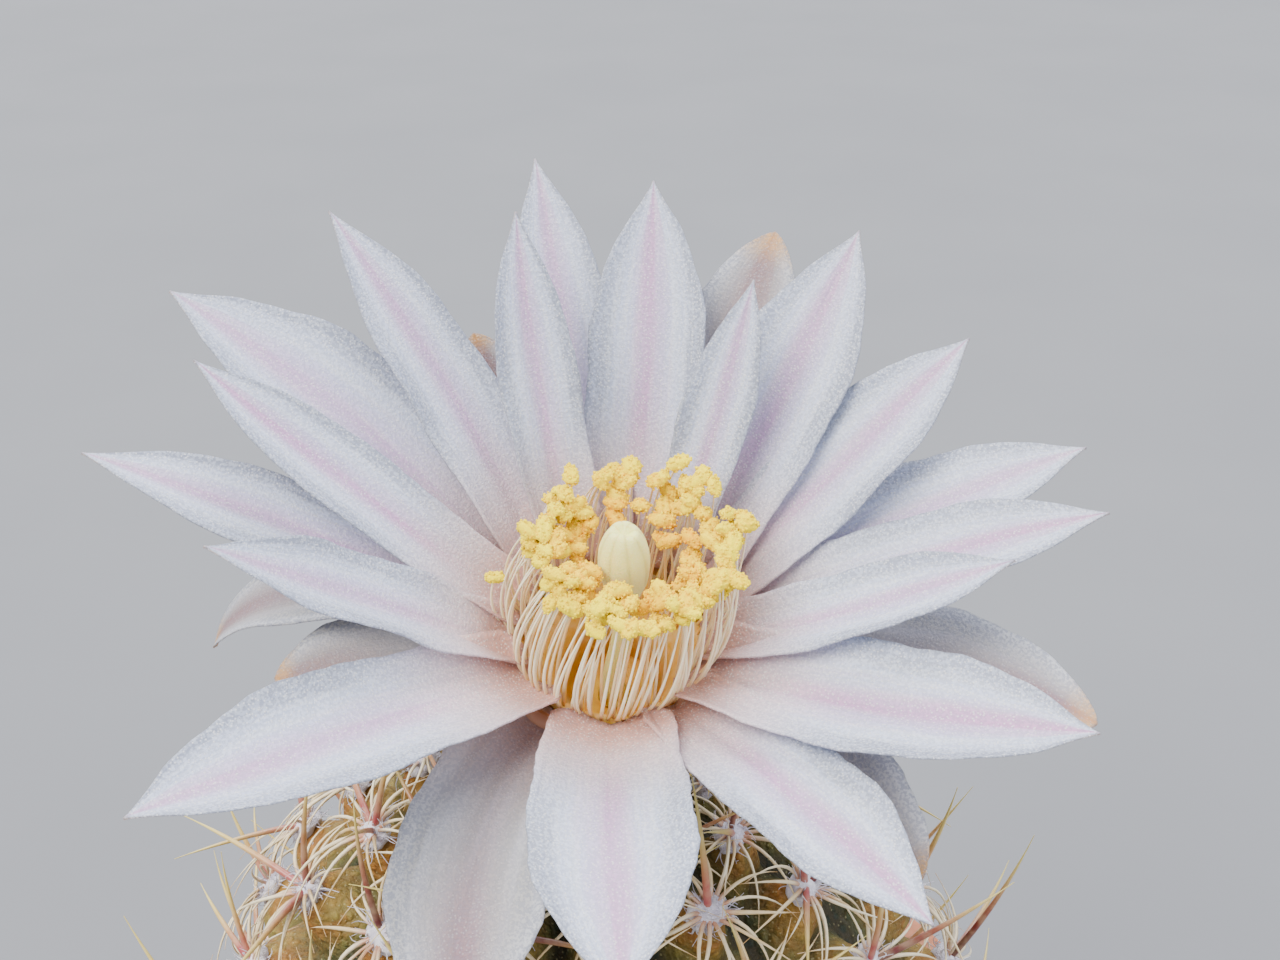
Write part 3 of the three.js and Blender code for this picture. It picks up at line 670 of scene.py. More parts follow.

# %% [markdown]
# ## The ribbed stem
#
# The stem is a fleshy globe. Its low ribs are cut into rounded tubercles, and the tubercles of neighbouring
# ribs stand half a step apart, so they also read as spirals. A sculpted lump would lose that order. The
# surface follows a rule, so it is made by one: a plain globe whose points know their turn about the axis
# and their place down the rib, and a Geometry Nodes tree that raises the tubercles from it. The skin is
# ochre on the crests and olive on the flanks, with fine pale dots where it breathes and cork near the soil.
# The grooves are painted almost black and the furrows between the tubercles dark: painted shade.

# %% The rule for the globe
STEM_CENTRE = np.array([0.0, 0.0, 57.8])
STEM_RADIUS = 19.2
STEM_RISE = 21.0
STEM_FALL = 20.0
STEM_END_ANGLE = math.radians(116)
RIBS = 13
ROWS_TURN = 6
FIRST_STEP = 2.6
STEP_GROWTH = 0.14
TUBERCLE_HEIGHT = 3.4
SADDLE = 0.3
RIB_POWER, BULGE_POWER, FURROW_POWER = 0.75, 0.8, 14
CHIN = 0.1
CROWN_FADE = (1, 11)
SOIL_FADE = (6, 1)

angles = np.linspace(0, STEM_END_ANGLE, 401)
meridian_height = np.where(angles < math.pi / 2, STEM_RISE, STEM_FALL)
meridian = np.stack([STEM_RADIUS * np.sin(angles), meridian_height * np.cos(angles)], 1)
lengths = np.concatenate([[0], np.cumsum(np.linalg.norm(np.diff(meridian, axis=0), axis=1))])
STEM_LENGTH = lengths[-1]
LAST_PLACE = math.log(1 + STEP_GROWTH * STEM_LENGTH / FIRST_STEP) / STEP_GROWTH


def length_at(place):
    """Distance down the rib at a place, which counts the tubercles above it. The steps grow down the rib."""
    return FIRST_STEP * (np.exp(STEP_GROWTH * np.asarray(place)) - 1) / STEP_GROWTH


def row_shift(turn):
    """How far down its rib the tubercles at a turn start, so that rows climb round the globe."""
    across = np.mod(RIBS * np.asarray(turn) / (2 * math.pi), RIBS)
    steps = ROWS_TURN * np.arange(RIBS + 1) / RIBS
    return np.interp(across, np.arange(RIBS + 1), steps - np.round(steps))


def plain_skin(turn, place):
    """Point on the plain globe, the direction out of it, and how much the tubercles are raised there."""
    length = length_at(place)
    angle = np.interp(length, lengths, angles)
    rise = np.where(angle < math.pi / 2, STEM_RISE, STEM_FALL)
    slope = unit(np.stack([np.sin(angle) * rise, np.cos(angle) * STEM_RADIUS], -1))
    around = np.stack([np.cos(turn), np.sin(turn)], -1)
    out = np.concatenate([slope[..., :1] * around, slope[..., 1:]], -1)
    far = (STEM_RADIUS * np.sin(angle))[..., None]
    point = np.concatenate([far * around, (rise * np.cos(angle))[..., None]], -1) + STEM_CENTRE
    near_soil = smoothstep(length, STEM_LENGTH - SOIL_FADE[0], STEM_LENGTH - SOIL_FADE[1])
    return point, out, smoothstep(length, *CROWN_FADE) * (1 - near_soil)


print(f"rib length {STEM_LENGTH:.1f} mm, with {LAST_PLACE:.1f} tubercles on it")


# %% A tree that raises the tubercles
def tubercle_tree():
    """Geometry Nodes: raises ribs and tubercles by the turn, step and fade that each point carries."""
    tree, given = grower("tubercles", [
        ("Ribs", "Float", 13), ("Height", "Float", 0.0034), ("Saddle", "Float", 0.3),
        ("Furrow", "Float", 0.0003), ("Wrinkle Size", "Float", 0.001), ("Wrinkle Height", "Float", 0.0001),
    ])

    def wave(phase):
        return times(tree, calc(tree, "COSINE", phase), 0.5, 0.5)

    fade = point_value(tree, "fade")
    rib = calc(tree, "POWER", wave(times(tree, given["Ribs"], point_value(tree, "turn"))), RIB_POWER)
    step = wave(times(tree, point_value(tree, "step"), 2 * math.pi))
    bulge = calc(tree, "POWER", step, BULGE_POWER)
    crest = times(tree, rib, times(tree, calc(tree, "SUBTRACT", 1, given["Saddle"]), bulge, given["Saddle"]))
    furrow = times(tree, calc(tree, "POWER", calc(tree, "SUBTRACT", 1, step), FURROW_POWER), rib)
    rise = calc(tree, "SUBTRACT", times(tree, crest, given["Height"]), times(tree, furrow, given["Furrow"]))
    rise = times(tree, lumps_of(tree, given["Wrinkle Size"], 3.0), given["Wrinkle Height"], rise)
    out = point_value(tree, "out", "FLOAT_VECTOR")
    raised = pushed(tree, given["Geometry"], out, times(tree, rise, fade))
    # crest and furrow go on to the skin's colour, where painted shade darkens the furrows and the grooves
    for name, field in (("crest", crest), ("furrow", furrow)):
        stored = {"Geometry": raised, "Name": name, "Value": times(tree, field, fade)}
        node = add(tree, "GeometryNodeStoreNamedAttribute", stored, data_type="FLOAT", domain="POINT")
        raised = node.outputs[0]
    return end_tree(tree, raised, given["Finish"])


# %% Finish: cactus skin
def skin_finish():
    finish, tree, shader = new_finish("cactus_skin", {
        "Specular IOR Level": 0.4, "Subsurface Weight": 0.12, "Subsurface Scale": 1 * MM,
        "Subsurface Radius": (1.0, 0.8, 0.3),
    })
    crest, furrow = named_value(tree, "crest"), named_value(tree, "furrow")
    mottled, rusty, fine = patchy(tree, 3.2, 0.45), patchy(tree, 1.6, 0.6), patchy(tree, 0.35, 0.3)
    warty, dots = speckled(tree, 0.55, 0.6), speckled(tree, 0.34, 0.26)
    flank = tinted(tree, mottled, "#46502a", "#6d6a33")
    top = layered(tree, tinted(tree, mottled, "#ab7f34", "#8d8442"), (rusty, 0.65, "#a55c1e"))
    high = eased(tree, times(tree, fine, 0.12, crest), 0.18, 0.78)
    between_warts, groove = calc(tree, "SUBTRACT", 1, warty), eased(tree, crest, 0.26, 0.02)
    corky = times(tree, eased(tree, height_of(tree), 53 * MM, 49.6 * MM), times(tree, mottled, 0.5, 0.45))
    # Near-black down the grooves and dark olive in the furrows between the tubercles are painted shade
    body = layered(
        tree, tinted(tree, high, flank, top), (groove, 1, "#20281a"), (furrow, 0.6, "#2b2d18"),
        (between_warts, 0.35, "#4e3a1c"), (dots, 0.25, "#d9d09c"), (corky, 1, "#8b7454"),
    )
    painted(tree, shader, body, (fine, 0.2, 0.55))
    roughen(tree, shader, times(tree, dots, 0.6, calc(tree, "ADD", fine, warty)), 0.7, 0.13)
    return finish


# %% Stem
COLUMNS_PER_RIB = 20
ROWS_PER_TUBERCLE = 14
NECK = [(9.0, 46.4), (6.0, 44.0), (0, 44.0)]
FURROW_DEPTH = 0.35
WRINKLE_SIZE, WRINKLE_HEIGHT = 0.75, 0.42

row_places = np.append(np.arange(0, LAST_PLACE - 0.04, 1 / ROWS_PER_TUBERCLE), LAST_PLACE)
row_places[0] = 0
numbered = [(1, -i) for i in range(len(row_places))]
points, faces = turned([(0, 0)] + numbered[1:] + NECK, RIBS * COLUMNS_PER_RIB)
faces = [face[::-1] for face in faces]
on_globe = points[:, 2] <= 0
rows = np.clip(np.round(-points[:, 2]).astype(int), 0, len(row_places) - 1)
turn = np.arctan2(points[:, 1], points[:, 0])
place = row_places[rows]
follow = smoothstep(place, 0, 1.5) * (1 - smoothstep(place, LAST_PLACE - 1, LAST_PLACE))
place = np.minimum(place + follow * row_shift(turn), LAST_PLACE)
globe, out, fade = plain_skin(turn, place)
points = np.where(on_globe[:, None], globe, points)
columns = {"turn": turn, "step": place - row_shift(turn) - CHIN, "fade": fade * on_globe, "out": out}
skin = grown(
    new_piece("stem_skin", points, faces, values=columns), tubercle_tree(),
    {
        "Ribs": float(RIBS), "Height": TUBERCLE_HEIGHT * MM, "Saddle": SADDLE, "Furrow": FURROW_DEPTH * MM,
        "Wrinkle Size": WRINKLE_SIZE * MM, "Wrinkle Height": WRINKLE_HEIGHT * MM, "Finish": skin_finish(),
    },
)
keep(skin, "stem")

# %% [markdown]
# ## The flower: tube and petals
#
# The flower leans towards the viewer. Its tube carries bare, overlapping scales, and from its rim come the
# tepals in three whorls, which is what petals are called where petals and sepals pass into each other. Each
# tepal is a thin channelled blade with a groove down its middle, a slightly crimped margin and a fine tip.
# They could be cut from planes and bent, but every tepal of this flower has its own turn, rise, length and
# width, so one function lofts each blade along its own curved midline. They are listed here as in the frame,
# but for the sixth, which stands a degree lower and is a little narrower. Most of the list isn't chosen by
# hand: a separate program fitted turns, lengths, widths and bends, and some rises, to the margins that show
# in the picture, and the results were rounded. A tepal grows out of the tube's wall, so its blade starts a
# heel's length inside the wall. The scales are made by the same function.

# %% The flower's plan
FLOWER_LEAN = math.radians(22)
WHORLS = {
    # radius and height of the feet, and how strongly the blades are channelled
    "inner": (5.5, 0.1, 0.62), "main": (5.8, -0.5, 0.5), "outer": (5.7, -1.5, 0.4),
}
TEPALS = [
    # turn, rise at the foot and at the tip, length, width, sideways bend, whorl
    (171.5, 35, 15, 21.7, 4.7, -2, "main"), (164.5, 42, 28, 19.4, 4.4, -15, "inner"),
    (146, 40, 25, 22.7, 7.4, 13, "main"), (129, 48, 32, 21.0, 4.8, 5, "main"),
    (113, 62, 45, 17.5, 4.2, -16, "inner"), (99.5, 44, 34, 20.6, 5.2, 4, "main"),
    (81, 48, 35, 19.1, 6.3, 8, "main"), (55, 62, 45, 14.9, 3.8, 17, "inner"),
    (47, 46, 32, 19.4, 6.6, 15, "main"), (27, 42, 25, 18.2, 5.6, 12, "main"),
    (14.5, 30, 15, 19.7, 5.7, -1, "main"), (2.5, 34.5, 16, 19.4, 5.1, 1, "main"),
    (-10.5, 35, 24, 15.1, 4.3, 17, "inner"), (-30.5, 22, 15, 18.7, 6.6, 16, "inner"),
    (-52, 26, -1, 16.3, 5.8, 2, "main"), (-90, 29, 6, 15.2, 7.6, 6, "main"),
    (-143.5, 28, 14, 19.8, 6.7, -1, "inner"), (192, 45, 36, 16.1, 4.6, -7, "inner"),
    (65, 40, 30, 18.8, 6.7, 2, "outer"), (92, 30, 18, 15.0, 6.0, 0, "outer"),
    (116, 35, 25, 13.5, 5.0, 0, "outer"), (138, 32, 20, 15.5, 5.0, 0, "outer"),
    (171, 37, -68, 19.4, 4.4, 4, "outer"), (-173, 6, -7, 11.3, 6.3, -1, "outer"),
    (-124, 0, -24, 15.2, 7.7, 42, "outer"), (-38, -4, 10, 13.6, 7.3, -15, "outer"),
    (-4.5, 15, -6, 18.5, 6.8, -23, "outer"),
]
lean = np.array(Matrix.Rotation(FLOWER_LEAN, 3, "X"))


def in_flower(points):
    """Moves points or a list of them from the flower's own frame, with its axis up, to their place."""
    return np.asarray(points) @ lean.T + THROAT


def about_axis(vectors, turn):
    return vectors @ np.array(Matrix.Rotation(turn, 3, "Z")).T


print(len(TEPALS), "tepals, throat at", THROAT, "mm")

# %% One blade
WIDEST_AT = 0.55
FOOT_WIDTH = 0.8
TIP_HALF = 0.045
MIDRIB_WIDTH = 0.13
GROOVE_DEPTH = 0.1
KEEL_HEIGHT = 0.13
BLADE_THICKNESS = 0.32
CRIMP = (0.08, 0.28)
WAVE_DEPTH = 0.02
JAG_DEPTH = 0.009
FOLDS = 2.6
FOLD_HEIGHT = 0.06
HEEL = 0.9
FOOT_CURL = 0.5
HEEL_WIDTH = 0.55
CURLED_SHARE = 0.16


def width_share(s, rounded):
    """Share of the full width at a share of the length. A pointed blade ends in a fine drawn-out tip."""
    swell = FOOT_WIDTH + (1 - FOOT_WIDTH) * np.sin(math.pi / 2 * np.minimum(s / WIDEST_AT, 1))
    q = np.clip((s - WIDEST_AT) / (1 - WIDEST_AT), 0, 1)
    if rounded:
        return swell * (1 - q**1.9) ** 0.7
    return swell * (1 - q**1.9) * (1 - 0.22 * smoothstep(q, 0.7, 0.98))


def blade(plan, root, rounded, rows, columns, random, thickness=BLADE_THICKNESS, crimp=CRIMP, heel=HEEL):
    """Points, faces and named values of one blade. Its heel is the part that reaches into the tube's wall."""
    turn, foot_rise, tip_rise, length, width, bend = plan
    radius, height, channel = root
    s = lerp(-heel / length, 1, 1 - (1 - np.linspace(0, 1, rows + 1)) ** 1.2)

    def direction(share):
        share = np.maximum(share, 0)
        rise, heading = np.radians(lerp(foot_rise, tip_rise, share)), np.radians(bend * share)
        return np.stack([np.cos(rise) * np.cos(heading), np.cos(rise) * np.sin(heading), np.sin(rise)], -1)

    heel_share = HEEL_WIDTH + (1 - HEEL_WIDTH) * np.sqrt(np.clip(1 + s * length / max(heel, 0.1), 0, 1))
    steps = direction((s[1:] + s[:-1]) / 2) * np.diff(s)[:, None] * length
    start = np.array([radius, 0, height]) - heel * direction(np.zeros(1))[0]
    middle = np.concatenate([[[0, 0, 0]], np.cumsum(steps, 0)]) + start
    s = np.maximum(s, 0)
    along = direction(s)
    side = unit(np.cross((0, 0, 1), along))
    rise = np.cross(along, side)
    v = np.linspace(-1, 1, columns + 1)

    # the outline: soft waves and a finer jag along each margin
    waves = np.sin(s[:, None] * random.uniform(22, 30) + random.uniform(0, 6, 2)[(v > 0).astype(int)])
    jag = np.sin(s[:, None] * random.uniform(70, 90) + random.uniform(0, 6, 2)[(v > 0).astype(int)])
    half = np.maximum(width / 2 * width_share(s, rounded) * heel_share, TIP_HALF)[:, None]
    half = half * (1 + WAVE_DEPTH * waves + JAG_DEPTH * jag)

    # the cross-section: a channel with soft folds, crimped towards the margins
    arc = channel * v
    flat, lift = half * np.sin(arc) / channel, half * (1 - np.cos(arc)) / channel
    crimps = np.sin(s[:, None] * random.uniform(10, 17) + random.uniform(0, 6) + 2 * v)
    middle_part = np.sin(math.pi * np.minimum(s * 1.05, 1))[:, None]
    lift = lift + random.uniform(*crimp) * np.abs(v) ** 3 * crimps * middle_part
    curl = FOOT_CURL * np.exp(-((s / CURLED_SHARE) ** 2))[:, None] * (heel > 0)
    lift = lift + curl * v**2
    folds = np.cos(FOLDS * math.pi * v + random.uniform(0, 6) + 0.8 * np.sin(3 * s[:, None]))
    lift = lift + FOLD_HEIGHT * folds * (1 - v**2) * middle_part
    groove = np.exp(-((v / MIDRIB_WIDTH) ** 2)) * np.sqrt(1 - s * 0.95)[:, None]
    grid = middle[:, None] + side[:, None] * flat[..., None] + rise[:, None] * lift[..., None]
    normal = rise[:, None] * np.cos(arc)[:, None] - side[:, None] * np.sin(arc)[:, None]
    body = thickness * (1 - 0.6 * v**2) * (1 - 0.5 * s)[:, None]
    upper = grid + normal * (body / 2 - GROOVE_DEPTH * groove)[..., None]
    lower = grid - normal * (body / 2 + KEEL_HEIGHT * groove)[..., None]
    points = about_axis(np.concatenate([upper.reshape(-1, 3), lower.reshape(-1, 3)]), math.radians(turn))
    shares = np.stack(np.meshgrid(s, (v + 1) / 2, indexing="ij"), -1).reshape(-1, 2)
    under = np.repeat([0.0, 1.0], len(shares))
    values = {"along": np.tile(shares[:, 0], 2), "across": np.tile(shares[:, 1], 2), "under": under}
    return points, blade_faces(rows + 1, columns + 1), values


def blade_faces(rows, columns):
    """Faces of two grids, the second one below the first, and of the rim that joins them."""
    below = rows * columns
    faces = []
    for i in range(rows - 1):
        for j in range(columns - 1):
            a = i * columns + j
            b, c, d = a + columns, a + columns + 1, a + 1
            faces += [(a, b, c, d), (below + a, below + d, below + c, below + b)]
        left, right = i * columns, i * columns + columns - 1
        faces.append((left, below + left, below + left + columns, left + columns))
        faces.append((right, right + columns, below + right + columns, below + right))
    last = below - columns
    for j in range(columns - 1):
        faces.append((j, j + 1, below + j + 1, below + j))
        faces.append((last + j, below + last + j, below + last + j + 1, last + j + 1))
    return faces


def joined(parts):
    """Several (points, faces, values) as one."""
    points, faces, columns = [], [], {}
    first = 0
    for part_points, part_faces, values in parts:
        faces += [tuple(first + i for i in face) for face in part_faces]
        points.append(part_points)
        first += len(part_points)
        for key, column in values.items():
            columns.setdefault(key, []).append(column)
    return np.concatenate(points), faces, {key: np.concatenate(column) for key, column in columns.items()}


print("a blade of 46 by 22 cells has", len(blade_faces(47, 23)), "faces")


# %% Finish: tepals
TRANSLUCENT_SHARE = 0.28


def tepal_finish():
    constants = {"Specular IOR Level": 0.5, "Sheen Weight": 0.12, "Sheen Roughness": 0.4}
    finish, tree, shader = new_finish("tepal", constants)
    along, under, outer, tone = (named_value(tree, name) for name in ("along", "under", "outer", "tone"))
    veins, broad = streaked(tree, 26.0, 2.5), streaked(tree, 8.0, 1.5)
    cells, glints = patchy(tree, 0.15, 0.8), speckled(tree, 0.16, 0.38)

    wavering = times(tree, broad, 0.16, off_middle_of(tree))
    stripe = times(tree, eased(tree, wavering, 0.6, 0.02), eased(tree, along, 0.05, 0.4))
    # margin greys the blade along its edges: painted shade, standing in for the dark seen through the thin
    # margins
    margin = times(tree, eased(tree, wavering, 0.5, 1.12), eased(tree, along, 0.15, 0.5))
    brown = times(tree, eased(tree, wavering, 1.0, 0.15), eased(tree, along, 0.2, 0.85))
    foot, throat, tip = (eased(tree, along, *span) for span in ((0.42, 0.04), (0.16, 0.0), (0.985, 1.0)))
    back_foot, back_tip = eased(tree, along, 0.45, 0.0), eased(tree, along, 0.88, 0.99)

    # On the face, the grey laid over the margins is painted shade
    face = layered(
        tree, "#e6eeff", (veins, 0.35, "#b9c8f4"), (margin, 0.6, "#9aa2ae"),
        (stripe, times(tree, tone, 0.3, 0.5), "#da8ec8"), (foot, 0.6, "#f0b7a2"), (throat, 0.6, "#d68e68"),
    )
    back = layered(
        tree, "#d3d5da", (broad, 0.6, "#a59f94"), (brown, 0.85, "#855848"), (back_foot, 0.75, "#b78c7e"),
        (back_tip, 0.85, "#e0a436"),
    )
    # Dark cells are painted shade in the grain, more of it along the margins; the white glints are painted
    # highlights
    body = layered(
        tree, tinted(tree, calc(tree, "MAXIMUM", times(tree, under, 0.5), outer), face, back),
        (cells, times(tree, margin, 0.4, 0.24), "#858ba2"),
        (glints, times(tree, outer, -0.5, 0.65), "#ffffff"),
    )
    painted(tree, shader, layered(tree, body, (tip, 0.5, "#a08a84")), (glints, -0.2, 0.45))
    roughen(tree, shader, times(tree, veins, 0.6, calc(tree, "SUBTRACT", glints, cells)), 0.4, 0.05)

    normal = shader.inputs["Normal"].links[0].from_socket
    through = add(tree, "ShaderNodeBsdfTranslucent", {"Color": body, "Normal": normal})
    both = add(tree, "ShaderNodeMixShader")
    for socket, value in zip(both.inputs, (TRANSLUCENT_SHARE, shader.outputs[0], through.outputs[0])):
        fill(tree, socket, value)
    fill(tree, tree.nodes["Material Output"].inputs["Surface"], both.outputs[0])
    return finish


# %% Tepals
BLADE_ROWS, BLADE_COLUMNS = 46, 22
DULLNESS = {"inner": (0.0, 0.02), "main": (0.0, 0.06), "outer": (0.78, 0.95)}

random = np.random.default_rng(23)
blades = []
for *plan, whorl in TEPALS:
    points, faces, values = blade(plan, WHORLS[whorl], whorl == "outer", BLADE_ROWS, BLADE_COLUMNS, random)
    values["outer"] = np.full(len(points), random.uniform(*DULLNESS[whorl]))
    values["tone"] = np.full(len(points), random.random())
    blades.append((in_flower(points), faces, values))
points, faces, values = joined(blades)
tepals = new_piece("tepals", points, faces, tepal_finish(), values)
keep(tepals, "bloom")


# %% Finish: tube and scales
def tube_finish():
    constants = {"Specular IOR Level": 0.4, "Subsurface Weight": 0.1, "Subsurface Scale": 1 * MM}
    finish, tree, shader = new_finish("flower_tube", constants)
    along, scale, inside = (named_value(tree, name) for name in ("along", "scale", "inside"))
    mottled, lines, off_middle = patchy(tree, 1.4, 0.3), streaked(tree, 18.0, 2.0), off_middle_of(tree)
    wall = layered(
        tree, tinted(tree, mottled, "#6f7446", "#8d8458"), (eased(tree, along, 0.7, 0.92), 1, "#c08a6c"),
        (inside, 1, tinted(tree, mottled, "#ffd048", "#e8ae3c")),
    )
    rim = calc(tree, "MAXIMUM", eased(tree, off_middle, 0.6, 0.95), eased(tree, along, 0.8, 0.98))
    leaf = layered(tree, tinted(tree, lines, "#7c6a4c", "#8a7d52"), (rim, 0.85, "#d9c7b4"))
    painted(tree, shader, tinted(tree, scale, wall, leaf), (mottled, 0.15, 0.42))
    roughen(tree, shader, calc(tree, "ADD", lines, mottled), 0.3, 0.06)
    return finish


# %% Tube and scales
TUBE_OUTSIDE = [(2.3, -15.9), (3.2, -14.4), (3.6, -9.6), (4.6, -4.8), (5.8, -1.9), (6.0, -1.2)]
TUBE_INSIDE = [(5.5, -0.9), (5.1, -1.3), (4.1, -3.6), (3.1, -5.6), (2.0, -6.5)]
TUBE_SIDES = 72
SCALES = 18
SCALE_SPAN = (1.15, 4.3)
SCALE_LENGTHS = (3.0, 4.8)
SCALE_THICKNESS = 0.4
SCALE_CRIMP = (0.02, 0.05)
TUBE_RIBS = 16
RIB_DEPTH = 0.012
YELLOW_BELOW = (1.1, 2.2)


def rounded_line(line, rounds=3):
    """Cuts the corners of a line of points again and again, and keeps its ends."""
    line = np.array(line, float)
    for _ in range(rounds):
        cuts = np.stack([lerp(line[:-1], line[1:], 0.25), lerp(line[:-1], line[1:], 0.75)], 1).reshape(-1, 2)
        line = np.concatenate([line[:1], cuts, line[-1:]])
    return line


outer_wall, inner_wall = rounded_line(TUBE_OUTSIDE), rounded_line(TUBE_INSIDE)
profile = np.concatenate([[(0, TUBE_OUTSIDE[0][1])], outer_wall, inner_wall, [(0, TUBE_INSIDE[-1][1])]])
points, faces = turned(profile, TUBE_SIDES)
share = (points[:, 2] - TUBE_OUTSIDE[0][1]) / -TUBE_OUTSIDE[0][1]
ribbed = 1 + RIB_DEPTH * np.sin(np.arctan2(points[:, 1], points[:, 0]) * TUBE_RIBS)
points[:, :2] *= ribbed[:, None]
is_inside = np.arange(len(points)) >= 1 + len(outer_wall) * TUBE_SIDES
zeros = np.zeros(len(points))
values = {"along": share, "across": zeros + 0.5, "scale": zeros}
values["inside"] = is_inside * smoothstep(-points[:, 2], *YELLOW_BELOW)
parts = [(in_flower(points), faces, values)]
random = np.random.default_rng(29)
for i in range(SCALES):
    at = lerp(*SCALE_SPAN, i / (SCALES - 1))
    low, high = np.array(TUBE_OUTSIDE[int(at)]), np.array(TUBE_OUTSIDE[int(at) + 1])
    radius, height = lerp(low, high, at % 1)
    slope = math.degrees(math.atan2(high[1] - low[1], high[0] - low[0]))
    size = lerp(*SCALE_LENGTHS, i / (SCALES - 1))
    plan = (math.degrees(i * GOLDEN_ANGLE), slope - 3, slope - 16, size, size * 1.15, 0)
    root = (radius - 0.1, height - size / 2, 1.0)
    points, faces, values = blade(plan, root, True, 14, 10, random, SCALE_THICKNESS, SCALE_CRIMP, heel=0)
    values.update(scale=np.ones(len(points)), inside=np.zeros(len(points)))
    del values["under"]
    parts.append((in_flower(points), faces, values))
points, faces, values = joined(parts)
tube = new_piece("flower_tube", points, faces, tube_finish(), values)
keep(tube, "bloom")

# %% [markdown]
# ## Stamens
#
# More than a hundred stamens stand in rings on the throat's wall. Their filaments bulge outwards like a
# basket and then lean in, and each carries a two-celled anther thick with pollen. A filament, a spine and a
# hair of wool are the same thing to Geometry Nodes: a tapered strand from a foot, past a belly, to a tip.
# So one tree makes them all. It bends a straight line by mixing between mixes of the three points, which
# gives a smooth curve from the foot to the tip that the belly pulls to its side.


# %% A tree that grows strands
def strand_tree():
    """Geometry Nodes: a tapered strand on each root point, from its foot past its belly to its tip."""
    tree, given = grower("strands", [
        ("Sides", "Int", 5), ("Steps", "Int", 8), ("Slimming", "Float", 1.5), ("Tip Share", "Float", 0.1),
    ])
    straight = add(tree, "GeometryNodeCurvePrimitiveLine").outputs[0]
    line = add(tree, "GeometryNodeResampleCurve", {"Curve": straight, "Count": given["Steps"]})
    standing = {"Points": given["Geometry"], "Instance": line.outputs[0]}
    placed = add(tree, "GeometryNodeInstanceOnPoints", standing).outputs[0]
    loose = add(tree, "GeometryNodeRealizeInstances", {"Geometry": placed}).outputs[0]
    along = add(tree, "GeometryNodeSplineParameter").outputs["Factor"]
    kept = {"Geometry": loose, "Name": "along", "Value": along}
    marked = add(tree, "GeometryNodeStoreNamedAttribute", kept, data_type="FLOAT", domain="POINT").outputs[0]

    def between(first, second):
        return mixed(tree, "VECTOR", along, first, second)

    foot, belly, tip = (point_value(tree, name, "FLOAT_VECTOR") for name in ("foot", "belly", "tip"))
    course = between(between(foot, belly), between(belly, tip))
    bent = add(tree, "GeometryNodeSetPosition", {"Geometry": marked, "Position": course}).outputs[0]
    slim = calc(tree, "SUBTRACT", 1, calc(tree, "POWER", point_value(tree, "along"), given["Slimming"]))
    thick = times(tree, point_value(tree, "thick"), calc(tree, "MAXIMUM", slim, given["Tip Share"]))
    ring = add(tree, "GeometryNodeCurvePrimitiveCircle", {"Resolution": given["Sides"], "Radius": 1.0})
    swept = {"Curve": bent, "Profile Curve": ring.outputs[0], "Scale": thick, "Fill Caps": True}
    tapered = add(tree, "GeometryNodeCurveToMesh", swept).outputs[0]
    rounded = add(tree, "GeometryNodeSetShadeSmooth", {"Geometry": tapered}).outputs[0]
    return end_tree(tree, rounded, given["Finish"])


STRANDS = strand_tree()


def strands(name, values, inputs):
    """A piece made of strands. The values give each one's foot, belly, tip, radius (thick) and tone."""
    sizes = {key: np.array(values[key]) * MM for key in ("foot", "belly", "tip", "thick")}
    tones = np.asarray(values.get("tone", np.zeros(len(values["foot"]))), float)
    return grown(new_piece(name, values["foot"], [], values={**sizes, "tone": tones}), STRANDS, inputs)


print("tree:", STRANDS.name)


# %% Finishes: filament, pollen and the ring
def filament_finish():
    constants = {"Specular IOR Level": 0.4, "Subsurface Weight": 0.2, "Subsurface Scale": 0.5 * MM}
    finish, tree, shader = new_finish("filament", constants)
    soft, near_foot = patchy(tree, 0.6, 0.2), eased(tree, named_value(tree, "along"), 0.4, 0.0)
    body = tinted(tree, named_value(tree, "tone"), "#f6e7c4", "#f2c77c")
    body = layered(tree, body, (near_foot, 1, "#e8b43c"), (soft, 0.3, "#f9efd8"))
    painted(tree, shader, body, (soft, 0.15, 0.35))
    return finish


def pollen_finish():
    finish, tree, shader = new_finish("pollen", {"Specular IOR Level": 0.12})
    lumps, powder = patchy(tree, 0.4, 0.4), patchy(tree, 0.06, 0.6)
    body = tinted(tree, named_value(tree, "tone"), "#fce800", "#f8b800")
    body = layered(tree, body, (lumps, 0.3, "#fff240"), (powder, 0.2, "#eda400"))
    painted(tree, shader, body, (powder, 0.15, 0.75))
    roughen(tree, shader, powder, 0.5, 0.03)
    return finish


# %% Stamens
RING_WALL = 0.55
STAMEN_CIRCLES = [
    # count, height of the foot, belly and anther as radius and height, and how orange they are
    (84, -1.4, (6.5, 2.2), (4.7, 6.6), 0.08), (52, -2.2, (5.4, 1.8), (3.9, 6.2), 0.4),
    (32, -3.2, (4.0, 1.0), (2.9, 5.5), 0.8),
]
STRAY_STAMEN = (math.pi, -1.4, (6.8, 1.4), (5.7, 4.0), 0.0)
BUNDLE_LEAN = 0.027
# how much nearer the axis, and how much higher, the anthers in front stand
STEEPER_FRONT = (0.3, 0.5)
BUNCHES = 9
BUNCHING = 0.13
FILAMENT_RADIUS = (0.07, 0.1)


def leant(points):
    """Leans what stands in the throat to the side, more and more with its height."""
    points = np.array(points, float)
    points[..., 0] += BUNDLE_LEAN * np.maximum(points[..., 2], 0) ** 2
    return points


def ring_radius(height):
    """Radius of the stamens' ring at a height: the tube's inner wall, less the gap."""
    heights, radii = [z for _, z in TUBE_INSIDE[::-1]], [r for r, _ in TUBE_INSIDE[::-1]]
    return np.interp(height, heights, radii) - GAP * 1.15


random = np.random.default_rng(31)
feet, bellies, tips, tones = [], [], [], []


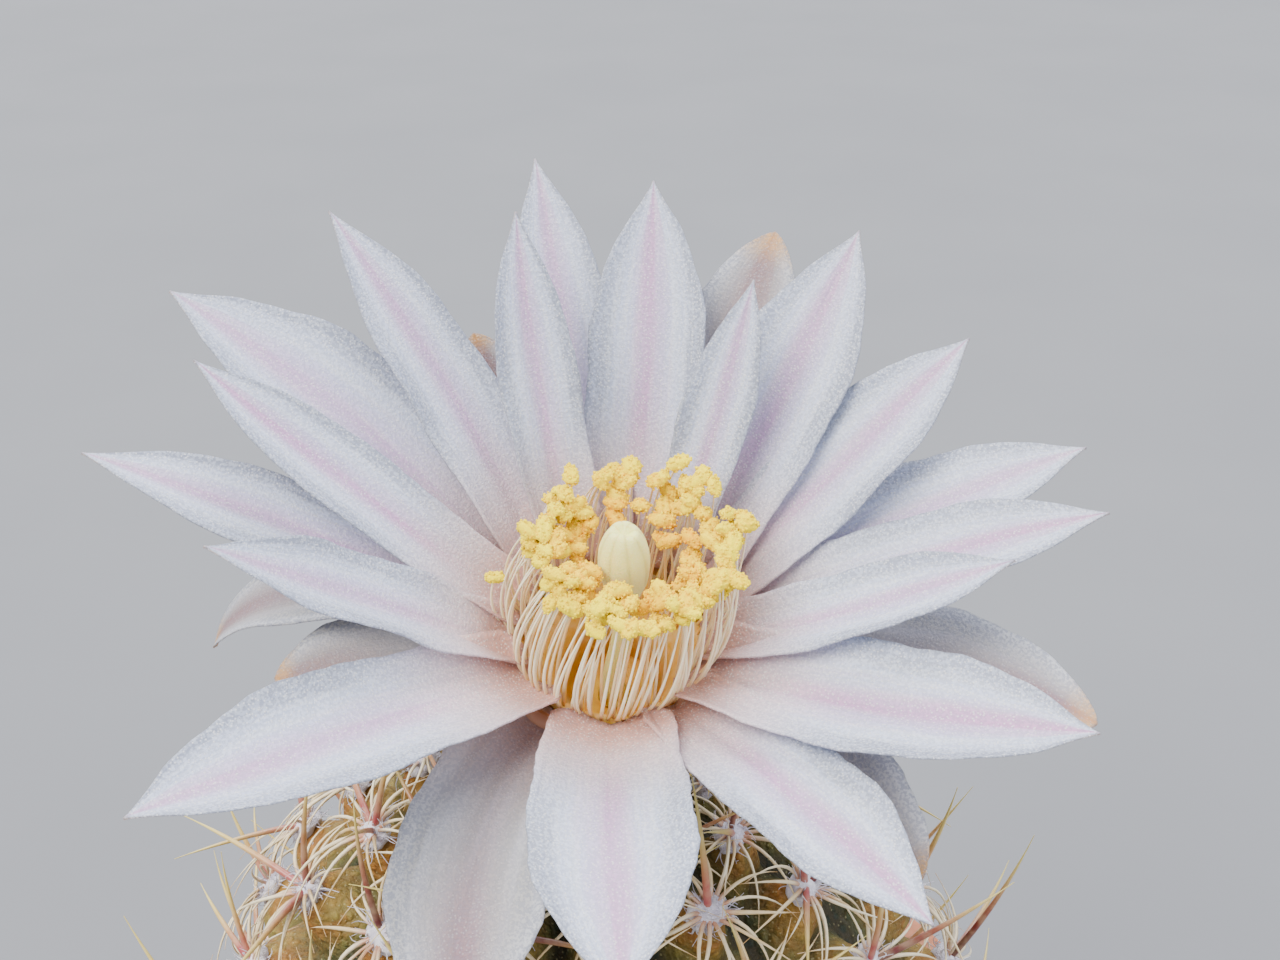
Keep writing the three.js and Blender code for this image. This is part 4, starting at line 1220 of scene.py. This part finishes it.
def add_stamen(turn, foot_height, belly, anther, tone):
    sway = random.uniform(-1, 1, 4)
    front = max(0, -math.sin(turn))
    foot = (ring_radius(foot_height) - RING_WALL / 2, 0, foot_height)
    middle = (belly[0] + 0.3 * sway[0], 0.5 * sway[1], belly[1])
    reach, rise = anther[0] - STEEPER_FRONT[0] * front, anther[1] + STEEPER_FRONT[1] * front
    tip = (reach + 0.6 * sway[2], 0.5 * sway[1], rise + 0.6 * sway[3])
    bunched = turn + BUNCHING * math.sin(BUNCHES * turn + 1)
    for where, point, heading in zip((feet, bellies, tips), (foot, middle, tip), (turn, turn, bunched)):
        where.append(in_flower(leant(about_axis(np.array(point), heading))))
    tones.append(np.clip(tone + random.normal() * 0.15, 0, 1))


for count, foot_height, belly, anther, tone in STAMEN_CIRCLES:
    for i in range(count):
        turn = 2 * math.pi * (i + random.uniform(0, 0.7)) / count
        add_stamen(turn, foot_height + random.uniform(-0.3, 0.3), belly, anther, tone)
add_stamen(*STRAY_STAMEN)
filament_look = filament_finish()
thick = random.uniform(*FILAMENT_RADIUS, len(feet))
filaments = strands(
    "filaments", {"foot": feet, "belly": bellies, "tip": tips, "thick": thick, "tone": tones},
    {"Sides": 6, "Steps": 12, "Slimming": 3.0, "Tip Share": 0.6, "Finish": filament_look},
)
keep(filaments, "stamens")

heights = [z for _, z in TUBE_INSIDE[1:4]]
profile = [(ring_radius(z), z) for z in heights] + [(ring_radius(z) - RING_WALL, z) for z in heights[::-1]]
points, faces = turned(profile[::-1], TUBE_SIDES, closed=True)
values = {"along": np.zeros(len(points)), "tone": np.full(len(points), 0.8)}
ring = new_piece("stamen_ring", in_flower(points), faces, filament_look, values)
keep(ring, "stamens")

# %% Anthers and pollen
ANTHER = np.array([0.6, 0.36, 0.33])
GRAINS_PER_ANTHER = 58
GRAIN_RADIUS = (0.045, 0.09)
TURN_SPANS = [(-0.6, 0.6), (-0.6, 0.6), (0, 2 * math.pi)]
PINCH_WIDTH, PINCH_DEPTH = 0.28, 0.4


def ball(name, subdivisions):
    """A small ball of triangles, one millimetre in radius."""
    form = bmesh.new()
    bmesh.ops.create_icosphere(form, subdivisions=subdivisions, radius=MM)
    piece = new_piece(name, [], [])
    form.to_mesh(piece.data)
    form.free()
    return piece


def two_celled(name):
    """An anther: a ball pinched along its middle into two cells."""
    anther = ball(name, 3)
    for vertex in anther.data.vertices:
        pinch = math.exp(-((vertex.co.y / MM / PINCH_WIDTH) ** 2))
        vertex.co.z *= 1 - PINCH_DEPTH * pinch
    return anther


count = len(tips)
turns = np.stack([random.uniform(low, high, count) for low, high in TURN_SPANS], 1)
turns[-1] = 0
sizes = ANTHER * random.uniform(0.8, 1.2, (count, 1))
pollen_look = pollen_finish()
anthers = copied(
    "anthers", [two_celled("anther_shape")], {"place": tips, "turn": turns, "size": sizes, "tone": tones},
    {"Finish": pollen_look, "Smooth": True, "Lump Size": 0.3 * MM, "Lump Height": 0.22 * MM},
)
keep(anthers, "stamens")

grain_places, grain_sizes, grain_tones = [], [], []
for tip, turn, size, tone in zip(tips, turns, sizes, tones):
    out = unit(random.normal(size=(GRAINS_PER_ANTHER, 3)))
    spin = np.array(Euler(turn).to_matrix())
    grain_places += list(tip + (out * size * random.uniform(0.9, 1.12, (GRAINS_PER_ANTHER, 1))) @ spin.T)
    grain_sizes += [(g, g, g) for g in random.uniform(*GRAIN_RADIUS, GRAINS_PER_ANTHER)]
    grain_tones += list(np.clip(tone + random.normal(size=GRAINS_PER_ANTHER) * 0.2, 0, 1))
grain_turns = random.uniform(0, 6, (len(grain_places), 3))
pollen = copied(
    "pollen_grains", [ball("grain_shape", 1)],
    {"place": grain_places, "turn": grain_turns, "size": grain_sizes, "tone": grain_tones},
    {"Finish": pollen_look, "Smooth": True},
)
keep(pollen, "stamens")

# %% [markdown]
# ## The pistil
#
# In the middle stands the style with its stigma, whose lobes are still closed into a ribbed, velvety club
# with a notch on top. It is turned like the pot, and a wave round it presses in the grooves between the
# lobes.


# %% Finish: stigma
def stigma_finish():
    finish, tree, shader = new_finish("stigma", {
        "Specular IOR Level": 0.35, "Sheen Weight": 0.1, "Subsurface Weight": 0.25,
        "Subsurface Scale": 0.6 * MM,
    })
    velvet, groove = patchy(tree, 0.08, 0.5), named_value(tree, "groove")
    # The grooves between the lobes are painted a darker yellow-green: painted shade
    body = layered(tree, "#fbfb98", (velvet, 0.3, "#ffffcc"), (groove, 0.5, "#d6cb62"))
    painted(tree, shader, body, (velvet, 0.2, 0.55))
    roughen(tree, shader, velvet, 0.5, 0.04)
    return finish


# %% Pistil
STYLE_RADIUS = 0.55
STIGMA_RADIUS = 1.25
STIGMA_FOOT = 1.6
STIGMA_TOP = 8.3
LOBES = 8
LOBE_GROOVE = 0.055
CLUB_FULLNESS = (1.3, 0.52)
NOTCH = 0.8
STIGMA_SHIFT = 0.65
STYLE_BEND = (-5, 1)

share = np.linspace(0, 1, 60)[1:-1]
fullness = np.sin(math.pi * share ** CLUB_FULLNESS[0]) ** CLUB_FULLNESS[1]
club = np.stack([STIGMA_RADIUS * fullness, lerp(STIGMA_FOOT, STIGMA_TOP, share)], 1)
floor = TUBE_INSIDE[-1][1] + GAP
style = [(0, floor), (STYLE_RADIUS + 0.3, floor), (STYLE_RADIUS, floor + 1.2)]
style += [(STYLE_RADIUS, z) for z in np.linspace(floor + 1.6, STIGMA_FOOT, 12)]
points, faces = turned(style + list(club) + [(0, STIGMA_TOP - 0.05)], LOBES * 14)
share = (points[:, 2] - STIGMA_FOOT) / (STIGMA_TOP - STIGMA_FOOT)
turn = np.arctan2(points[:, 1], points[:, 0]) + 0.25 * share
on_club = smoothstep(share, 0.02, 0.2)
groove = on_club * (1 - np.abs(np.cos(LOBES / 2 * turn))) ** 2.2
points[:, :2] *= (1 - LOBE_GROOVE * groove + 0.03 * ripple(points, 0.9) * on_club)[:, None]
on_top = smoothstep(share, 0.8, 1) * (1 - smoothstep(np.hypot(points[:, 0], points[:, 1]), 0, 0.75))
points[:, 2] -= NOTCH * on_top * (0.7 + 0.3 * np.cos(turn * 2))
points[:, 0] += STIGMA_SHIFT * smoothstep(points[:, 2], *STYLE_BEND)
pistil = new_piece("pistil_and_stigma", in_flower(points), faces, stigma_finish(), {"groove": groove})
keep(pistil, "pistil")

# %% [markdown]
# ## Areoles: wool and spines
#
# On the top of each tubercle sits an areole, a cushion of white wool from which the spines grow. Up to
# fifteen thin, bent radial spines spread over the stem like the teeth of a comb, and up to three stouter
# central ones stand out, maroon at the foot and straw at the tip. Near the crown the areoles are small.
# The spines could be scattered at random, but real ones keep off the petals and don't pierce the skin. So
# each spine is planned in Python, tested against the flower and the skin, bent up or shortened until it is
# clear, and only then handed to the strand tree.

# %% Where the areoles are
CROWN_CLEAR = 3.2
SOIL_CLEAR = 6.0
GROWN_AT = 8.5
TUBE_CLEAR = 4.4

tube_foot, tube_axis = in_flower((0, 0, TUBE_OUTSIDE[0][1])), in_flower((0, 0, 1)) - in_flower((0, 0, 0))
areoles = []
for rib in range(RIBS):
    turn = 2 * math.pi * rib / RIBS
    for row in range(int(LAST_PLACE) + 1):
        place = row + row_shift(turn)
        length = length_at(place)
        if not CROWN_CLEAR < length < STEM_LENGTH - SOIL_CLEAR:
            continue
        point, out, fade = plain_skin(np.array(turn), np.array(place))
        bulge = SADDLE + (1 - SADDLE) * ((1 + math.cos(2 * math.pi * CHIN)) / 2) ** BULGE_POWER
        point = point + out * TUBERCLE_HEIGHT * float(fade) * bulge
        if np.linalg.norm(np.cross(point - tube_foot, tube_axis)) < TUBE_CLEAR:
            continue
        around = np.array([-math.sin(turn), math.cos(turn), 0])
        size = lerp(0.45, 1.0, float(smoothstep(length, CROWN_CLEAR, GROWN_AT)))
        down = np.cross(around, out)
        areoles.append({"point": point, "out": out, "around": around, "down": down, "size": size})
print(len(areoles), "areoles, of which", sum(a["size"] > 0.99 for a in areoles), "are full-grown")


# %% Keeping spines clear
def surface_of(piece):
    """A search tree of a piece's faces, in millimetres."""
    points = [vertex.co / MM for vertex in piece.data.vertices]
    return BVHTree.FromPolygons(points, [tuple(face.vertices) for face in piece.data.polygons])


SKIN_SURFACE = surface_of(skin)
FLOWER_SURFACES = [surface_of(tepals), surface_of(tube)]
TESTED_SHARES = np.array([0.3, 0.5, 0.65, 0.8, 0.9, 1.0])[:, None]
SKIN_ROOM = 0.12
FLOWER_ROOM = 0.3
RIM_ROOM = 0.3
INSIDE_RIM = 1.0
SOIL_ROOM = 1.2
REACH = 29.9
TRIALS = [
    # how many degrees a spine is lifted, and the share of its length that it keeps
    (0, 1), (12, 1), (24, 0.95), (36, 0.9), (-14, 0.85), (48, 0.8), (0, 0.6), (30, 0.5),
]


def course_of(foot, belly, tip):
    t = TESTED_SHARES
    return (1 - t) ** 2 * foot + 2 * t * (1 - t) * belly + t * t * tip


def is_clear(course):
    """True if a course stays off the skin, the flower, the soil and the pot's rim."""
    for x, y, z in course:
        far = math.hypot(x, y)
        over_rim = z > POT_HEIGHT + RIM_ROOM
        if far > REACH or z < SOIL_TOP + SOIL_ROOM or not (over_rim or far < RIM_MOUTH - INSIDE_RIM):
            return False
        place = Vector((x, y, z))
        nearest, normal, _, _ = SKIN_SURFACE.find_nearest(place)
        if (place - nearest).dot(normal) < SKIN_ROOM:
            return False
        if any(surface.find_nearest(place, FLOWER_ROOM)[0] for surface in FLOWER_SURFACES):
            return False
    return True


def planned_spine(areole, turn, length, lean, droop, sway, start):
    """Foot, belly and tip of a spine that turns round its areole and leans out, or None without room."""
    aim = math.cos(turn) * areole["down"] + math.sin(turn) * areole["around"]
    across = np.cross(areole["out"], aim)
    foot = areole["point"] + areole["out"] * 0.3 * areole["size"] + aim * start
    for lift, shorter in TRIALS:
        first, last = math.radians(lean + lift), math.radians(lean + lift - droop)
        reach = length * shorter
        belly = foot + reach * 0.5 * (math.cos(first) * aim + math.sin(first) * areole["out"])
        swayed = math.cos(sway) * aim + math.sin(sway) * across
        tip = foot + reach * 0.97 * unit(math.cos(last) * swayed + math.sin(last) * areole["out"])
        if is_clear(course_of(foot, belly, tip)):
            return foot, belly, tip
    return None


print("search trees ready")

# %% Plan the spines
RADIALS = 15
RADIAL_LENGTH, RADIAL_RADIUS, RADIAL_START = (4.4, 6.9), (0.1, 0.15), 0.55
RADIAL_LEAN, RADIAL_DROOP, RADIAL_SWAY = (22, 38), (18, 46), 0.32
CENTRAL_LENGTH, CENTRAL_RADIUS, CENTRAL_START = (6.4, 10.4), (0.16, 0.22), 0.15
CENTRAL_DROOP, CENTRAL_SWAY = (2, 10), 0.08
CENTRAL_COUNTS, CENTRAL_CHANCES = [1, 2, 3], [0.25, 0.5, 0.25]

random = np.random.default_rng(37)
radial, central = [], []
for areole in areoles:
    size = areole["size"]
    for i in range(RADIALS):
        turn = 2 * math.pi * (i + 0.5 + random.uniform(-0.3, 0.3)) / RADIALS
        length = size * random.uniform(*RADIAL_LENGTH) * (0.85 + 0.15 * math.cos(turn))
        lean_out, droop = random.uniform(*RADIAL_LEAN), random.uniform(*RADIAL_DROOP)
        sway = random.normal() * RADIAL_SWAY
        spine = planned_spine(areole, turn, length, lean_out, droop, sway, RADIAL_START * size)
        if spine:
            radial.append((spine, size * random.uniform(*RADIAL_RADIUS), random.random()))
    heading = random.choice([-1, 1])
    plans = [
        (math.pi + random.normal() * 0.3, random.uniform(40, 60)),
        (heading * random.uniform(1.1, 2.0), random.uniform(24, 50)),
        (-heading * random.uniform(0.9, 1.9), random.uniform(22, 45)),
    ]
    for turn, lean_out in plans[: random.choice(CENTRAL_COUNTS, p=CENTRAL_CHANCES)]:
        length = size * random.uniform(*CENTRAL_LENGTH)
        droop, sway = random.uniform(*CENTRAL_DROOP), random.normal() * CENTRAL_SWAY
        spine = planned_spine(areole, turn, length, lean_out, droop, sway, CENTRAL_START * size)
        if spine:
            central.append((spine, size * random.uniform(*CENTRAL_RADIUS), random.random()))
print(len(radial), "radial spines and", len(central), "central spines")


# %% Finishes: spines and wool
def radial_finish():
    constants = {"Specular IOR Level": 0.5, "Coat Weight": 0.1, "Coat Roughness": 0.3}
    finish, tree, shader = new_finish("radial_spine", constants)
    along, soft = named_value(tree, "along"), patchy(tree, 0.5, 0.3)
    body = layered(
        tree, tinted(tree, named_value(tree, "tone"), "#e3d7b4", "#c9ac74"),
        (eased(tree, along, 0.3, 0.0), 1, "#b4785c"), (eased(tree, along, 0.75, 1.0), 1, "#bd8f4c"),
        (soft, 0.25, "#f6f0de"),
    )
    painted(tree, shader, body, (soft, 0.15, 0.3))
    return finish


def central_finish():
    constants = {"Specular IOR Level": 0.5, "Coat Weight": 0.2, "Coat Roughness": 0.25}
    finish, tree, shader = new_finish("central_spine", constants)
    along, tone, bands = named_value(tree, "along"), named_value(tree, "tone"), patchy(tree, 0.7, 0.3)
    foot, middle = tinted(tree, tone, "#4a1018", "#b04a50"), tinted(tree, tone, "#8c3324", "#d8bd6c")
    body = layered(
        tree, tinted(tree, eased(tree, along, 0.08, 0.6), foot, middle),
        (eased(tree, along, 0.4, 0.9), 1, "#d2c06a"), (bands, 0.2, "#e6d6a4"),
    )
    painted(tree, shader, body, (bands, 0.15, 0.28))
    return finish


def wool_finish():
    constants = {"Specular IOR Level": 0.15, "Sheen Weight": 0.4, "Roughness": 0.95}
    finish, tree, shader = new_finish("areole_wool", constants)
    # The lilac patches over the white are painted shade between the wool's lumps
    painted(tree, shader, layered(tree, "#f6f4fb", (patchy(tree, 0.5, 0.4), 0.6, "#b9aecb")))
    roughen(tree, shader, patchy(tree, 0.08, 0.5), 0.8, 0.06)
    return finish


# %% Spines
def spines(name, plans, inputs):
    """A kind of spine, from plans that each hold a course, a radius and a tone."""
    values = {key: [plan[0][k] for plan in plans] for k, key in enumerate(("foot", "belly", "tip"))}
    values.update(thick=[plan[1] for plan in plans], tone=[plan[2] for plan in plans])
    keep(strands(name, values, inputs), "stem")


radial_form = {"Sides": 5, "Steps": 10, "Slimming": 1.6, "Tip Share": 0.12, "Finish": radial_finish()}
central_form = {"Sides": 8, "Steps": 12, "Slimming": 1.7, "Tip Share": 0.1, "Finish": central_finish()}
spines("radial_spines", radial, radial_form)
spines("central_spines", central, central_form)

# %% Wool
PAD = np.array([1.35, 1.0, 0.7])
HAIRS = 58
HAIR_RADIUS = (0.03, 0.05)
HAIR_RISE, HAIR_CURL, TIP_CURL = 0.42, 0.2, 0.34

random = np.random.default_rng(41)
turns, feet, bellies, tips = [], [], [], []
for areole in areoles:
    size = areole["size"]
    basis = np.stack([areole["around"], -areole["down"], areole["out"]], 1)
    turns.append(Matrix(basis.tolist()).to_euler()[:])
    for _ in range(int(HAIRS * size**2)):
        out = unit(random.normal(size=3) * (1, 1, 0.8) + (0, 0, 0.35))
        foot = areole["point"] + basis @ (out * PAD * size * 0.8)
        away = basis @ out
        curl = random.normal(size=(2, 3)) * size
        belly = foot + away * HAIR_RISE * size + HAIR_CURL * curl[0]
        feet.append(foot)
        bellies.append(belly)
        tips.append(belly + away * 0.1 + TIP_CURL * curl[1])
wool_look = wool_finish()
pad_places = [areole["point"] for areole in areoles]
pad_sizes = [PAD * areole["size"] * 0.9 for areole in areoles]
pads = copied(
    "wool_pads", [ball("pad_shape", 3)], {"place": pad_places, "turn": turns, "size": pad_sizes},
    {"Finish": wool_look, "Smooth": True, "Lump Size": 0.42 * MM, "Lump Height": 0.85 * MM},
)
keep(pads, "stem")
thick = random.uniform(*HAIR_RADIUS, len(feet))
hairs = strands(
    "wool_hairs", {"foot": feet, "belly": bellies, "tip": tips, "thick": thick},
    {"Sides": 3, "Steps": 5, "Slimming": 3.0, "Tip Share": 0.4, "Finish": wool_look},
)
keep(hairs, "stem")

# %% [markdown]
# ## Floor and light
#
# The pot stands on a plain pale floor, a little darker than the petals so that they stand out from it. The
# light is that of a small studio: one large soft source above and to the left, a weaker one from the right,
# one from above and behind, which shines through the thin petals, and a faint one low at the back that
# lights rims.


# %% Floor
FLOOR_HALF = 9000.0


def floor_finish():
    finish, tree, shader = new_finish("floor", {"Specular IOR Level": 0.2, "Roughness": 0.9})
    painted(tree, shader, tinted(tree, patchy(tree, 60, 0.0), "#77797d", "#7a7c80"))
    return finish


corners = [(x * FLOOR_HALF, y * FLOOR_HALF, 0) for x, y in ((-1, -1), (1, -1), (1, 1), (-1, 1))]
new_piece("floor", corners, [(0, 1, 2, 3)], floor_finish(), smooth=False)


# %% Light
def soft_light(name, place, spread, strength, tint):
    """A light as even as a far soft box: it comes from a place and has a spread in degrees."""
    data = bpy.data.lights.new(name, "SUN")
    data.angle = math.radians(spread)
    data.energy = strength
    data.color = colour(tint)[:3]
    light = bpy.data.objects.new(name, data)
    light.location = Vector(place) * MM
    light.rotation_euler = (Vector(THROAT) - Vector(place)).to_track_quat("-Z", "Y").to_euler()
    bpy.context.scene.collection.objects.link(light)


soft_light("key", (-420, -380, 820), 42, 6.2, "#fffaf2")
soft_light("fill", (800, -500, 500), 50, 1.9, "#eef3ff")
soft_light("back", (150, 420, 900), 30, 3.4, "#f4f6ff")
soft_light("rim", (-500, 800, 420), 50, 1.5, "#f6f8ff")

world = bpy.data.worlds.new("studio")
world.use_nodes = True
world.node_tree.nodes["Background"].inputs["Color"].default_value = colour("#e8ecf4")
world.node_tree.nodes["Background"].inputs["Strength"].default_value = 0.92
bpy.context.scene.world = world
